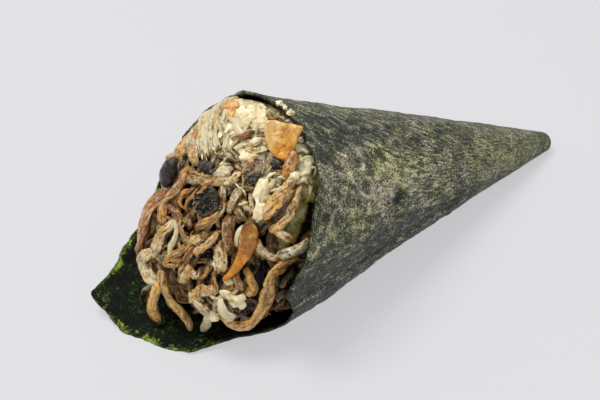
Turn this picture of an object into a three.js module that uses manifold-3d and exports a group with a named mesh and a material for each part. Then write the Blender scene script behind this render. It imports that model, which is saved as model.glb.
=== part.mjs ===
// Temaki hand roll lying on its side: a cone of toasted nori round a plug of rice, its open end
// heaped with strips of cooked mushroom, cream cheese, two mushroom caps and two golden slices.
// The tip points to +X, the open end to -X, and the roll lies on z = 0. Lengths are millimetres.
// A place on the nori is a reach (distance from the cone's apex) and a turn (degrees round the
// axis: 0 underneath, 90 at the near side -Y, 180 on top). A place on the heap is x (towards the
// near side) and y (up), both measured over its surface from the cone's axis.
import * as THREE from 'three';
import { mergeVertices } from 'three/addons/utils/BufferGeometryUtils.js';
import Module from 'manifold-3d';

const wasm = await Module();
wasm.setup();

// Driving dimensions
const APEX = [75.4, 0.55];
const HALF_ANGLE = 13;
const FLAT_TURN = 10;
const TIP_REACH = 8;
const HOLLOW_REACH = 16;
const SHEET = 0.5;
const LAP = 0.4;
const LAP_TURN = 65;
const LAP_STEP = 0.004;
const COLUMNS = 52;
const NORI_ROWS = 7;
const TIP_RING = 0.004;
const TIP_ROUNDING = 1;
const INNER_DEPTH = SHEET + LAP * LAP_TURN / 360;
const GAP = 0.3;
const RIPPLE = 0.45;
const RIM_REACH = 118;

// The sheet's edge at the open end: reach and turn of its corners, with straight cuts between.
// The corner at -35 is the long flap under the filling.
const RIM_CORNERS = [
  [115.5, 165], [117, 146], [118, 130], [121, 119], [124, 96], [128.5, 80], [121, 60],
  [120, 44], [125, 27], [136, 16], [145.5, -35], [133.5, -52], [128, -60], [116, -134], [120, -168],
];

// The heap: two mounds, each a centre and half sizes along the axis, the near side and up.
const MOUNDS = [
  { centre: [112, 0, 0], half: [20, 26, 25.5] },
  { centre: [121, -2, -12], half: [15, 22, 16] },
];
const HEAP_CENTRE = [112, 0, -3];
const MAP_RADIUS = 25;
const CORE_LIFT = -2.2;
const CORE_RELIEF = 0.55;
const CORE_DIP = { at: [31, 15], spread: 9, depth: 6 };

// Strips of mushroom that stand out: width, thickness and route over the heap.
const STRIPS = [
  { size: [3.1, 2.6], route: [[-21, 4], [-21, -2], [-16, -5], [-15, -11], [-12, -15]] },
  { size: [2.6, 2.1], route: [[-7, 15.5], [-9, 9], [-13, 3], [-10, -2]] },
  { size: [3.5, 2.9], route: [[-8, 5], [-6, 0], [-7, -5], [-8, -11], [-12, -15]] },
  { size: [2.6, 2.3], route: [[-3, -10.5], [-1, -14], [0.5, -19], [3, -23]] },
  { size: [3.5, 2.9], route: [[-2, -13], [-6.5, -17.5], [-5, -22]] },
  { size: [2.4, 2.1], route: [[-6, 6.5], [-1.5, 2], [2, -2], [-1, -8.5]] },
  { size: [1.8, 1.6], route: [[6, 18], [1.5, 14], [-2.5, 10], [-3, 6]] },
  { size: [2.4, 2.0], route: [[10.5, 11], [8, 7], [3, 3], [-1, 4]] },
  { size: [2.8, 2.3], route: [[12, 12], [14, 7.5], [14.5, 2], [16, -2]] },
  { size: [3.1, 2.1], route: [[10, 1], [13, -2], [14.5, -7]] },
  { size: [2.1, 2.0], route: [[10.5, 5], [10, 1.5], [7, -1], [6, -5]] },
  { size: [1.9, 1.7], route: [[6, -5], [8, -3], [10.5, -5], [9, -9]] },
  { size: [3.4, 2.3], route: [[22, 27], [22, 21], [21.5, 16], [21, 11]] },
  { size: [2.6, 2.2], route: [[24, 26], [25, 20], [25.5, 15], [23.5, 10]] },
  { size: [2.6, 1.8], route: [[24, 11], [27, 11], [30, 9.5], [33, 8]] },
  { size: [2.6, 1.8], route: [[33, 6.5], [29, 4.5], [25, 3], [21.5, 7]] },
  { size: [3.5, 2.2], route: [[31, 2], [27, -1], [25, -10], [22, -20], [16.5, -23], [14.5, -13]] },
  { size: [2.1, 1.8], route: [[20, -3], [22, -6], [21, -10]] },
  { size: [2.6, 2.3], route: [[9, -12], [11, -16], [10, -22], [6, -24]] },
  { size: [2.4, 2.1], route: [[6, -10], [9, -13.5], [13, -12]] },
  { size: [2.8, 2.3], route: [[16.5, 32], [18.5, 27.5], [20, 23]] },
  { size: [1.8, 1.6], route: [[-20, 26], [-14, 24], [-8, 17]] },
  { size: [2.6, 2.1], route: [[7, 23], [10, 21.5], [14, 19]] },
  { size: [2.6, 2.1], route: [[12, 19], [12, 15], [11.5, 11]] },
  { size: [2.4, 2.1], route: [[15, 18.5], [17, 15], [18.5, 10]] },
];
const LUMPS = [
  { at: [17.5, -10.5, -0.6], half: [2.5, 2.2, 1.8] },
  { at: [10.5, -18.5, -0.6], half: [2.2, 2.0, 1.6] },
  { at: [-7, -10, -0.6], half: [2.4, 2.0, 1.6] },
  { at: [4, -9, -0.8], half: [2.0, 1.8, 1.6] },
  { at: [10, 25, -0.8], half: [2.0, 1.9, 1.5] },
  { at: [23, 10, -0.8], half: [1.8, 1.6, 1.5] },
];
const FILL_STRIPS = {
  count: 20,
  seed: 5,
  distance: [14, 42],
  side: [95, 285],
  length: [16, 25],
  swing: 1,
  bend: 2.5,
  size: [2.9, 2.4],
  lift: -1.1,
};
const STRIP_LIFT = -1.0;
const STRIP_STEP = 4;
const STRIP_SIDES = 5;
const GOLDEN_RATIO = 0.618;

// Cream cheese: soft lumps side by side on the top of the heap.
const CREAM = [
  { at: [-3, 31.5, -1.0], half: [6.0, 5.0, 2.6] },
  { at: [-10, 28, -1.0], half: [5.0, 5.5, 2.4] },
  { at: [-6, 35, -1.4], half: [6.0, 4.5, 2.6] },
  { at: [2, 36, -1.4], half: [5.0, 4.0, 2.4] },
  { at: [-1, 26, -1.2], half: [4.5, 4.0, 2.2] },
];
const CAP_LEFT = { at: [-14.5, 10.5, -0.2], half: [2.5, 3.8, 2.5], gills: 0 };
const CAP_MIDDLE = { at: [5, 12, -0.6], half: [3.3, 3.3, 2.1], gills: 0.25 };
const GILL_COUNT = 12;
// How finely each kind of lump is divided, and how wavy its skin is.
const CAP_SKIN = { detail: 3, wave: 0.015 };
const CREAM_SKIN = { detail: 2, wave: 0.03 };
const LUMP_SKIN = { detail: 1, wave: 0.09 };
const SKIN_WAVES = 4;

// Under each topping the heap is raised, so that the topping lies in a bed of it.
const BEDS = [
  { at: [-14.5, 10.5, -2.4], half: [3.4, 4.4, 2.2] },
  { at: [5, 12, -2.4], half: [4.2, 4.2, 1.9] },
  { at: [13, 31.5, -2.6], half: [4.6, 4.6, 2.4] },
  { at: [18.2, 2.5, -2.2], half: [3.4, 5.6, 2.3] },
];

const SLICE_BEVEL = 0.35;
// Golden slices: corners to the right and up in the slice's own plane, and the way it faces.
const SLICE_TOP = {
  at: [13, 31.5, -0.2],
  facing: [-0.52, -0.63, 0.57],
  thick: 2.4,
  corners: [[-4.5, 3.6], [4.6, 3.9], [2.4, -1.6], [0.2, -3.8], [-2.7, -2.2], [-4.5, 0.2]],
};
const SLICE_FRONT = {
  at: [18.2, 2.5, -0.2],
  facing: [-0.68, -0.68, 0.25],
  thick: 2.4,
  corners: [[1.2, 5.6], [2.8, 3.2], [2.3, -0.6], [0.2, -3.6], [-2.4, -5.6], [-4.6, -5.8], [-2.6, -1.8], [-1.6, 2]],
};

// Rice: a plug with a hollow front, banked up against the nori on one side, where grains show.
// The bank is highest at its turn, and rises between two shares of the radius.
const PLUG = { wallReach: 105, middleReach: 97 };
const BANK = { turn: 132, half: 45, rise: 12.5, from: 0.55, to: 0.8 };
const PLUG_BACK = 4;
const PLUG_ROWS = 6;
const FRONT_RINGS = [0.8, 0.6];
const ROOM_REACH = 170;
const GRAIN = [2.6, 1.1, 1.0];
const GRAINS = { count: 16, seed: 3, turn: [98, 166], depth: [1.3, 5], above: [0, 0.9] };
// What is cut out of a solid to clear its neighbour is larger than the neighbour by these.
const CLEAR_OF_RICE = 3.6 * GAP;
const CLEAR_OF_GRAIN = 1.5 * GAP;
const CLEAR_OF_TOPPING = 1.2 * GAP;

const DEG = Math.PI / 180;
const ALPHA = HALF_ANGLE * DEG;
// The axis leans so that the flattened strip underneath lies on z = 0 from tip to rim.
const FLATTENING = Math.sin(ALPHA) * Math.cos(ALPHA) * (1 - Math.cos(FLAT_TURN * DEG));
const TILT = ALPHA - Math.atan(FLATTENING);
const OUT = new THREE.Vector3(-Math.cos(TILT), 0, Math.sin(TILT));
const UP = new THREE.Vector3(Math.sin(TILT), 0, Math.cos(TILT));
const NEAR = new THREE.Vector3(0, -1, 0);
const INSIDE = INNER_DEPTH + GAP;
const ON_AXIS = 1e-6;

function randomFrom(seed) {
  let state = seed;
  return () => {
    state = (state * 1664525 + 1013904223) % 4294967296;
    return state / 4294967296;
  };
}

function between([low, high], share) {
  return low + (high - low) * share;
}

function placed(out, near, up) {
  return new THREE.Vector3().addScaledVector(OUT, out).addScaledVector(NEAR, near).addScaledVector(UP, up);
}

// Shallow waves of the sheet, deeper towards the open end and none where it lies flat.
function ripple(reach, turn) {
  const share = reach / RIM_REACH;
  const wave = Math.sin(3 * turn + 4 * share) + 0.6 * Math.sin(7 * turn - 6 * share + 1);
  return RIPPLE * share * share * wave * (1 - Math.cos(turn)) / 2;
}

// How far the outer face lies below the true cone: the sheet winds inwards from its free edge,
// and meets the cone underneath.
function lapDepth(turn) {
  const wound = ((turn / DEG - LAP_TURN) % 360 + 360) % 360 / 360;
  return LAP * (wound - 1 + LAP_TURN / 360);
}

// A point of the cone, depth below the true cone; the underside is pressed flat.
function conePoint(reach, turn, depth) {
  const radial = UP.clone().multiplyScalar(-Math.cos(turn)).addScaledVector(NEAR, Math.sin(turn));
  const sunk = depth + ripple(reach, turn);
  const along = reach * Math.cos(ALPHA) + sunk * Math.sin(ALPHA);
  const point = OUT.clone().multiplyScalar(along);
  point.addScaledVector(radial, reach * Math.sin(ALPHA) - sunk * Math.cos(ALPHA));
  point.z = Math.max(point.z, depth - lapDepth(turn));
  return point;
}

// Reach of the rim at a turn: the corners are joined by straight lines on the unrolled sheet.
function rimReach(turnDegrees) {
  const flat = ([reach, turn]) => {
    const angle = turn * DEG * Math.sin(ALPHA);
    return new THREE.Vector2(reach * Math.cos(angle), reach * Math.sin(angle));
  };
  const first = RIM_CORNERS[0];
  const corners = [...RIM_CORNERS, [first[0], first[1] - 360]];
  const turn = turnDegrees > first[1] ? turnDegrees - 360 : turnDegrees;
  for (let i = 0; i < corners.length - 1; i += 1) {
    if (turn > corners[i][1] || turn < corners[i + 1][1]) continue;
    const from = flat(corners[i]);
    const along = flat(corners[i + 1]).sub(from);
    const angle = turn * DEG * Math.sin(ALPHA);
    const across = along.x * Math.sin(angle) - along.y * Math.cos(angle);
    return (along.x * from.y - along.y * from.x) / across;
  }
  return RIM_REACH;
}

function mapped(geometry, place) {
  const position = geometry.getAttribute('position');
  const vertex = new THREE.Vector3();
  for (let i = 0; i < position.count; i += 1) {
    const moved = place(vertex.fromBufferAttribute(position, i));
    position.setXYZ(i, moved.x, moved.y, moved.z);
  }
  return geometry;
}

function solidOf(geometry) {
  const bare = geometry.clone();
  bare.deleteAttribute('normal');
  bare.deleteAttribute('uv');
  const merged = mergeVertices(bare, 1e-4);
  return new wasm.Manifold(new wasm.Mesh({
    numProp: 3,
    vertProperties: merged.attributes.position.array,
    triVerts: new Uint32Array(merged.index.array),
  }));
}

// The biggest body of a solid: loose scraps go, and a bubble closed off inside is filled.
function biggest(solid) {
  const bodies = solid.decompose();
  return bodies.reduce((best, body) => (body.volume() > best.volume() ? body : best));
}

function meshOf(name, solid, look) {
  const { vertProperties, triVerts } = solid.getMesh();
  const geometry = new THREE.BufferGeometry();
  geometry.setAttribute('position', new THREE.BufferAttribute(vertProperties, 3));
  geometry.setIndex(new THREE.BufferAttribute(triVerts, 1));
  geometry.computeVertexNormals();
  const mesh = new THREE.Mesh(geometry, new THREE.MeshStandardMaterial(look));
  mesh.name = name;
  return mesh;
}

// A lathe round the cone: profile points are (share of the reach, layer), and place turns each
// into a point. Its columns start at the sheet's free edge, with two close together there.
function roundCone(profile, place) {
  const lathe = new THREE.LatheGeometry(profile.map((p) => new THREE.Vector2(...p)), COLUMNS);
  return mapped(lathe, (v) => {
    const round = (Math.atan2(v.x, v.z) / (2 * Math.PI) + 1) % 1;
    const wound = (Math.round(round * COLUMNS) % COLUMNS) / (COLUMNS - 1) * (1 - LAP_STEP);
    return place(Math.hypot(v.x, v.z), v.y, (LAP_TURN + 360 * wound + 180) % 360 - 180);
  });
}

// The blunt point that closes a cone which starts at a reach.
function tipPoint(reach) {
  return OUT.clone().multiplyScalar(reach * Math.cos(ALPHA) - TIP_ROUNDING);
}

function shares(count) {
  return Array.from({ length: count }, (_, i) => (i + 1) / count);
}

// The sheet: its outer layer winds inwards from the free edge, so a step runs along that edge.
function makeNori() {
  const rows = [0, ...shares(NORI_ROWS)].map((share) => TIP_RING + (1 - TIP_RING) * share ** 1.5);
  const outer = [[0, 0], ...rows.map((share) => [share, 0])];
  const inner = [...rows.slice().reverse().map((share) => [share, 1]), [0, 1]];
  return solidOf(roundCone([...outer, ...inner], (share, layer, turn) => {
    const start = layer > 0.5 ? HOLLOW_REACH : TIP_REACH;
    const depth = layer > 0.5 ? INNER_DEPTH : lapDepth(turn * DEG);
    if (share < ON_AXIS) return tipPoint(start);
    return conePoint(start + (rimReach(turn) - start) * share, turn * DEG, depth);
  }));
}

// The room inside the sheet up to the front that endReach(share of the radius, turn) gives;
// `wider` lets it reach into the sheet.
function roomInside(endReach, wider) {
  const start = HOLLOW_REACH + PLUG_BACK;
  const wall = [[0, 0], ...shares(PLUG_ROWS).map((share) => [share, 0])];
  const front = [...FRONT_RINGS.map((share) => [share, 1]), [0, 1]];
  return solidOf(roundCone([...wall, ...front], (share, face, turn) => {
    if (face > 0.5) {
      const reach = endReach(share, turn);
      const middle = OUT.clone().multiplyScalar(reach * Math.cos(ALPHA));
      return middle.lerp(conePoint(reach, turn * DEG, INSIDE - wider), share);
    }
    if (share < ON_AXIS) return tipPoint(start);
    return conePoint(start + (endReach(1, turn) - start) * share, turn * DEG, INSIDE - wider);
  }));
}

// How far the front of the rice reaches at a share of the radius and a turn.
function plugReach(share, turn) {
  const { wallReach, middleReach } = PLUG;
  const aside = Math.min(1, Math.abs(turn - BANK.turn) / BANK.half);
  const climbed = Math.min(1, Math.max(0, (share - BANK.from) / (BANK.to - BANK.from)));
  const bank = BANK.rise * Math.cos(aside * 90 * DEG) * climbed;
  return middleReach + (wallReach - middleReach) * share * share + bank;
}

// Distance from the heap's centre to its surface: the farther of the two mounds.
function heapRadius(direction) {
  const reaches = MOUNDS.map(({ centre, half }) => {
    const from = centre.map((c, i) => (HEAP_CENTRE[i] - c) / half[i]);
    const way = direction.map((d, i) => d / half[i]);
    const a = way.reduce((sum, w) => sum + w * w, 0);
    const b = way.reduce((sum, w, i) => sum + w * from[i], 0);
    const c = from.reduce((sum, f) => sum + f * f, -1);
    return (Math.sqrt(b * b - a * c) - b) / a;
  });
  return Math.max(...reaches);
}

function heapSpot(direction, lift) {
  const radius = heapRadius(direction) + lift;
  return placed(...HEAP_CENTRE.map((c, i) => c + direction[i] * radius));
}

function heapPoint(x, y, lift) {
  const angle = Math.hypot(x, y) / MAP_RADIUS;
  const side = Math.atan2(y, x);
  return heapSpot([Math.cos(angle), Math.sin(angle) * Math.cos(side), Math.sin(angle) * Math.sin(side)], lift);
}

// Axes on the heap's surface: across, up the map, and outwards.
function heapAxes([x, y]) {
  const across = heapPoint(x + 0.5, y, 0).sub(heapPoint(x - 0.5, y, 0)).normalize();
  const rise = heapPoint(x, y + 0.5, 0).sub(heapPoint(x, y - 0.5, 0));
  const outward = across.clone().cross(rise).normalize();
  return new THREE.Matrix4().makeBasis(across, outward.clone().cross(across), outward);
}

function relief(p) {
  return Math.sin(0.9 * p.x + 2) * Math.sin(0.8 * p.y) + Math.sin(0.7 * p.z + 0.6 * p.x);
}

function makeCore() {
  const { at, spread, depth } = CORE_DIP;
  return solidOf(mapped(new THREE.IcosahedronGeometry(1, 4), (v) => {
    const direction = v.clone().normalize().toArray();
    const stretch = MAP_RADIUS * Math.acos(direction[0]) / Math.hypot(direction[1], direction[2]);
    const away = Math.hypot(direction[1] * stretch - at[0], direction[2] * stretch - at[1]);
    const dip = depth * Math.exp(-((away / spread) ** 2));
    return heapSpot(direction, CORE_LIFT - dip + CORE_RELIEF * relief(heapSpot(direction, 0)));
  }));
}

function makeStrip({ size, route, lift = STRIP_LIFT }) {
  const path = new THREE.CatmullRomCurve3(route.map(([x, y]) => heapPoint(x, y, lift)));
  const corners = shares(STRIP_SIDES).map((share) => 2 * Math.PI * share);
  const section = new THREE.Shape(corners.map((angle) => (
    new THREE.Vector2(Math.cos(angle) * size[1] / 2, Math.sin(angle) * size[0] / 2)
  )));
  const steps = Math.max(3, Math.round(path.getLength() / STRIP_STEP));
  const settings = { steps, bevelEnabled: false, extrudePath: path };
  return solidOf(new THREE.ExtrudeGeometry(section, settings));
}

// A soft lump on the heap, an ellipsoid with a wavy skin; `grow` makes it larger all over.
function makeLump({ at, half, gills = 0 }, { detail, wave }, grow) {
  const axes = heapAxes(at).setPosition(heapPoint(...at));
  return solidOf(mapped(new THREE.IcosahedronGeometry(1, detail), (v) => {
    const unit = v.clone().normalize();
    const groove = gills * Math.cos(GILL_COUNT * Math.atan2(unit.y, unit.x)) * Math.max(unit.z, 0);
    const local = new THREE.Vector3(...unit.toArray().map((u, i) => u * (half[i] + grow + groove)));
    return local.multiplyScalar(1 + wave * relief(unit.multiplyScalar(SKIN_WAVES))).applyMatrix4(axes);
  }));
}

function makeSlice({ at, facing, thick, corners }, grow) {
  const size = (corner) => 1 + grow / Math.hypot(...corner);
  const outline = new THREE.Shape(corners.map((c) => new THREE.Vector2(...c).multiplyScalar(size(c))));
  const depth = thick + 2 * grow - 2 * SLICE_BEVEL;
  const bevel = { bevelThickness: SLICE_BEVEL, bevelSize: SLICE_BEVEL, bevelOffset: -SLICE_BEVEL };
  const settings = { depth, bevelSegments: 1, ...bevel };
  const normal = new THREE.Vector3(...facing).normalize();
  const right = new THREE.Vector3(0, 0, 1).cross(normal).normalize();
  const frame = new THREE.Matrix4().makeBasis(right, normal.clone().cross(right), normal);
  const geometry = new THREE.ExtrudeGeometry(outline, settings).translate(0, 0, -depth / 2);
  return solidOf(geometry.applyMatrix4(frame.setPosition(heapPoint(...at))));
}

function joined(parts) {
  return parts.reduce((whole, part) => whole.add(part));
}

function without(solid, others) {
  return others.reduce((left, other) => left.subtract(other), solid);
}

// Strips by rule on the far side: spots spread by the golden ratio, each strip running round the heap.
function fillStrips() {
  const { count, seed, length, swing, size, lift } = FILL_STRIPS;
  const random = randomFrom(seed);
  return Array.from({ length: count }, (_, i) => {
    const distance = between(FILL_STRIPS.distance, Math.sqrt((i + 0.5) / count));
    const side = between(FILL_STRIPS.side, (i * GOLDEN_RATIO) % 1) * DEG;
    const heading = side + 90 * DEG + between([-swing, swing], random());
    const half = between(length, random()) / 2;
    const bend = between([-FILL_STRIPS.bend, FILL_STRIPS.bend], random());
    const centre = [distance * Math.cos(side), distance * Math.sin(side)];
    const route = [-1, 0, 1].map((t) => [
      centre[0] + half * t * Math.cos(heading) - bend * (1 - t * t) * Math.sin(heading),
      centre[1] + half * t * Math.sin(heading) + bend * (1 - t * t) * Math.cos(heading),
    ]);
    return makeStrip({ size, route, lift });
  });
}

function makeGrains(grow) {
  const random = randomFrom(GRAINS.seed);
  return Array.from({ length: GRAINS.count }, () => {
    const turn = between(GRAINS.turn, random());
    const depth = between(GRAINS.depth, random());
    const share = 1 - depth / (RIM_REACH * Math.sin(ALPHA));
    const reach = plugReach(share, turn) + between(GRAINS.above, random());
    const centre = conePoint(reach, turn * DEG, INSIDE + depth);
    const turned = new THREE.Euler(random() * 0.8, random() * 0.8, random() * Math.PI);
    const grain = new THREE.IcosahedronGeometry(1, 0).scale(...GRAIN.map((g) => g + grow));
    grain.applyMatrix4(new THREE.Matrix4().makeRotationFromEuler(turned));
    return solidOf(grain.translate(...centre.toArray()));
  });
}

const room = roomInside(() => ROOM_REACH, 0);
const plug = roomInside(plugReach, 0);
const plugRoom = roomInside((share, turn) => plugReach(share, turn) + CLEAR_OF_RICE, GAP);
const rice = biggest(joined([plug, joined(makeGrains(0)).intersect(room)]));
const riceRoom = joined([plugRoom, ...makeGrains(CLEAR_OF_GRAIN)]);

const toppings = (grow) => ({
  cap_left: makeLump(CAP_LEFT, CAP_SKIN, grow),
  cap_middle: makeLump(CAP_MIDDLE, CAP_SKIN, grow),
  golden_slice_top: makeSlice(SLICE_TOP, grow),
  golden_slice_front: makeSlice(SLICE_FRONT, grow),
  cream_cheese: joined(CREAM.map((lump) => makeLump(lump, CREAM_SKIN, grow))),
});
const solids = toppings(0);
const roomy = toppings(CLEAR_OF_TOPPING);
// Each topping is cut clear of the rice and of the toppings before it, and the heap of them all.
const names = Object.keys(solids);
names.forEach((name, i) => {
  const before = names.slice(0, i).map((other) => roomy[other]);
  solids[name] = biggest(without(solids[name].intersect(room), [riceRoom, ...before]));
});

const heapStrips = [...STRIPS.map(makeStrip), ...fillStrips()];
const heapLumps = [...LUMPS, ...BEDS].map((lump) => makeLump(lump, LUMP_SKIN, 0));
const wholeHeap = joined([makeCore(), ...heapStrips, ...heapLumps]).intersect(room);
solids.mushroom_heap = biggest(without(wholeHeap, [riceRoom, ...Object.values(roomy)]));
solids.rice = rice;
solids.nori = makeNori();

const LOOKS = {
  nori: { color: 0x3f4a38, roughness: 0.45 },
  rice: { color: 0xe9e6da, roughness: 0.5 },
  mushroom_heap: { color: 0xb98a55, roughness: 0.4 },
  cap_left: { color: 0x35322e, roughness: 0.25 },
  cap_middle: { color: 0x2f2b24, roughness: 0.35 },
  golden_slice_top: { color: 0xdc9c4a, roughness: 0.35 },
  golden_slice_front: { color: 0xc97f33, roughness: 0.35 },
  cream_cheese: { color: 0xe6ddc2, roughness: 0.45 },
};

const group = new THREE.Group();
Object.entries(LOOKS).forEach(([name, look]) => group.add(meshOf(name, solids[name], look)));
group.children.forEach((mesh) => mesh.position.set(APEX[0], APEX[1], 0));

export default group;
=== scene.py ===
"""Looks of a temaki hand roll: a cone of toasted nori with a heap of cooked mushroom in its open end.

Sizes are in millimetres, measured from the cone's apex. finish_piece() scales and places a mesh.
A place on the nori is a reach (distance from the apex) and a turn (degrees round the axis: 0 underneath,
90 at the near side -Y, 180 on top). A place on the heap is x (towards the near side) and y (up), both
measured over its surface from the cone's axis, and a lift off it.
"""

import math
import random

import bmesh
import bpy
from mathutils import Euler, Matrix, Vector, noise


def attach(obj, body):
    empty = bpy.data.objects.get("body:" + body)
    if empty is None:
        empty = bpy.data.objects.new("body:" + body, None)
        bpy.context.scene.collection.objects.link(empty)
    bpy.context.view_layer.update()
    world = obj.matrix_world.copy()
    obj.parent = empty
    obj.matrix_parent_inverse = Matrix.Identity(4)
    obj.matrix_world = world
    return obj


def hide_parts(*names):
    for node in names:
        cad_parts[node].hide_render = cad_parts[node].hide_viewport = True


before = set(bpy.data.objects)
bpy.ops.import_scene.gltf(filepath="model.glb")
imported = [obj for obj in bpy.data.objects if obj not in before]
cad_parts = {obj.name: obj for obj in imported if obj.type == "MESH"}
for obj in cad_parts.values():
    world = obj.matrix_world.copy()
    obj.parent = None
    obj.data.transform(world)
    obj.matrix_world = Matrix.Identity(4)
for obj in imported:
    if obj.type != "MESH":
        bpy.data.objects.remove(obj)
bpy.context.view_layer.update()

MM = 0.001

# The cone, as in the solids
APEX = Vector((75.4, 0.55, 0))
HALF_ANGLE = math.radians(13)
SIN, COS = math.sin(HALF_ANGLE), math.cos(HALF_ANGLE)
FLAT_TURN = math.radians(10)
TIP_REACH = 9.2
TIP_ROUND = 2.6
HOLLOW_REACH = 16
SHEET = 0.5
LAP = 0.4
LAP_TURN = 65
LAP_STEP = 0.002
INNER_DEPTH = SHEET + LAP * LAP_TURN / 360
GAP = 0.3
INSIDE = INNER_DEPTH + GAP
RIPPLE = 0.45
RIM_REACH = 118
RIM_CORNERS = [
    (115.5, 165), (117, 146), (118, 130), (121, 119), (124, 96), (128.5, 80), (121, 60),
    (120, 44), (125, 27), (136, 16), (139.5, 2), (143.3, -14), (145.5, -35), (140, -40), (136.5, -45),
    (134, -50.5), (130.5, -56), (127, -60), (114.5, -134), (116, -150), (120, -168),
]

# The heap, as in the solids: two mounds, each a centre and half sizes along the axis, near and up
MOUNDS = [((112, 0, 0), (20, 26, 25.5)), ((121, -2, -12), (15, 22, 16))]
HEAP_CENTRE = (112, 0, -3)
MAP_RADIUS = 25
STRIP_LIFT = -1.1

# Rice: the plug's front is hollow, with a bank on the near side and a groove by the wall
PLUG_WALL, PLUG_MIDDLE = 105, 97
BANK_TURN, BANK_HALF, BANK_RISE = 132, 45, 12.5
PLUG_GROOVE = 3.0
PLUG_COLUMNS, PLUG_ROWS, PLUG_WALL_ROWS = 72, 40, 24
GRAIN_COUNT = 110

# Crumbs of rice on the sheet: reach, turn and radius
CRUMBS = [(116.4, 174, 0.75), (115.8, 171.5, 0.5), (115.6, 167.5, 0.7)]

# Nori mesh: columns round the cone, rows along its outer and inner face
NORI_COLUMNS = 340
NORI_OUTER_ROWS = 210
NORI_INNER_ROWS = 46
RAGGED = 0.45
CRUMPLE = 0.3

# Folds along the sheet: turn, its drift with the reach, height and width in degrees
FOLDS = [
    (75, -0.1, 0.7, 1.6), (60, 0.05, 0.35, 1.8), (97, 0.5, 0.3, 2.0), (152, -0.5, 0.3, 2.2),
    (164, -0.35, 0.25, 1.8),
]
# A dent by them: turn, reach, size and depth
DENT = (108, 88.5, 2.0, 1.1)

# The sheet stands up a little at the top of its near edge, and bellies out low on the near side:
# turn, spread, where along the reach, and height
RISE_TURN, RISE_SPREAD, RISE_FROM, RISE_TO, RISE = 182, 25, 104, 118, 1.0
BELLY_TURN, BELLY_SPREAD, BELLY_FROM, BELLY = 48, 18, 80, 1.3

# Fibres of the sheet: their slant over the top, and the reach at which they measure true
FIBRE_SLANT, FIBRE_REACH = 0.45, 80

# Widths of the flap's yellow-green edge: where it is torn, and in front
FLAP_EDGE, HEM = 3.4, 0.8

LEAN = HALF_ANGLE - math.atan(SIN * COS * (1 - math.cos(FLAT_TURN)))
OUT = Vector((-math.cos(LEAN), 0, math.sin(LEAN)))
UP = Vector((math.sin(LEAN), 0, math.cos(LEAN)))
NEAR = Vector((0, -1, 0))


# ---------------------------------------------------------------- places on the cone and the heap

def wobble(x, y, z=0.0):
    """Smooth noise at a place, about -0.6 to 0.6."""
    return noise.noise(Vector((x, y, z)))


def clamped(value):
    return max(0.0, min(1.0, value))


def placed(out, near, up):
    return OUT * out + NEAR * near + UP * up


def ripple(reach, turn):
    share = reach / RIM_REACH
    angle = math.radians(turn)
    wave = math.sin(3 * angle + 4 * share) + 0.6 * math.sin(7 * angle - 6 * share + 1)
    return RIPPLE * share * share * wave * (1 - math.cos(angle)) / 2


def lap_depth(turn):
    return LAP * ((turn - LAP_TURN) % 360 / 360 - 1 + LAP_TURN / 360)


def radial(turn):
    angle = math.radians(turn)
    return NEAR * math.sin(angle) - UP * math.cos(angle)


def cone_point(reach, turn, depth):
    sunk = depth + ripple(reach, turn)
    point = OUT * (reach * COS + sunk * SIN) + radial(turn) * (reach * SIN - sunk * COS)
    point.z = max(point.z, depth - lap_depth(turn))
    return point


def rim_reach(turn):
    """Reach of the sheet's edge: its corners are joined by straight cuts on the unrolled sheet."""
    first_reach, first_turn = RIM_CORNERS[0]
    corners = RIM_CORNERS + [(first_reach, first_turn - 360)]
    if turn > first_turn:
        turn -= 360
    for (reach_a, turn_a), (reach_b, turn_b) in zip(corners, corners[1:]):
        if turn_b <= turn <= turn_a:
            angle_a, angle_b, angle = (math.radians(t) * SIN for t in (turn_a, turn_b, turn))
            ax, ay = reach_a * math.cos(angle_a), reach_a * math.sin(angle_a)
            dx, dy = reach_b * math.cos(angle_b) - ax, reach_b * math.sin(angle_b) - ay
            return (dx * ay - dy * ax) / (dx * math.sin(angle) - dy * math.cos(angle))
    return RIM_REACH


def plug_reach(share, turn):
    """How far the front of the rice reaches at a share of the radius and a turn."""
    aside = min(1, abs(turn - BANK_TURN) / BANK_HALF)
    climbed = min(1, max(0, (share - 0.55) / 0.25))
    bank = BANK_RISE * math.cos(math.radians(90 * aside)) * climbed
    groove = PLUG_GROOVE * max(0.0, share - 0.92) / 0.08
    return PLUG_MIDDLE + (PLUG_WALL - PLUG_MIDDLE) * share * share + bank - groove


def kept_in(point, spare=0.1):
    """The point, pulled back inside the sheet and above it where it lies flat."""
    along = point.dot(OUT)
    off = point - OUT * along
    turn = math.degrees(math.atan2(off.dot(NEAR), -off.dot(UP)))
    reach = along / COS
    over_sheet = reach < rim_reach(turn) + 0.5
    depth = INSIDE + spare + ripple(reach, turn)
    limit = along * SIN / COS - depth / COS
    if over_sheet and off.length > limit:
        point = OUT * along + off * (limit / off.length)
    point.z = max(point.z, INSIDE + spare if over_sheet else GAP)
    return point


def heap_radius(direction):
    reaches = []
    for centre, half in MOUNDS:
        start = [(h - c) / s for h, c, s in zip(HEAP_CENTRE, centre, half)]
        way = [d / s for d, s in zip(direction, half)]
        a = sum(w * w for w in way)
        b = sum(w * f for w, f in zip(way, start))
        c = sum(f * f for f in start) - 1
        reaches.append((math.sqrt(b * b - a * c) - b) / a)
    return max(reaches)


def heap_spot(direction, lift):
    radius = heap_radius(direction) + lift
    return placed(*(c + d * radius for c, d in zip(HEAP_CENTRE, direction)))


def heap_point(x, y, lift=0.0):
    angle = math.hypot(x, y) / MAP_RADIUS
    side = math.atan2(y, x)
    direction = (math.cos(angle), math.sin(angle) * math.cos(side), math.sin(angle) * math.sin(side))
    return heap_spot(direction, lift)


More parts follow.
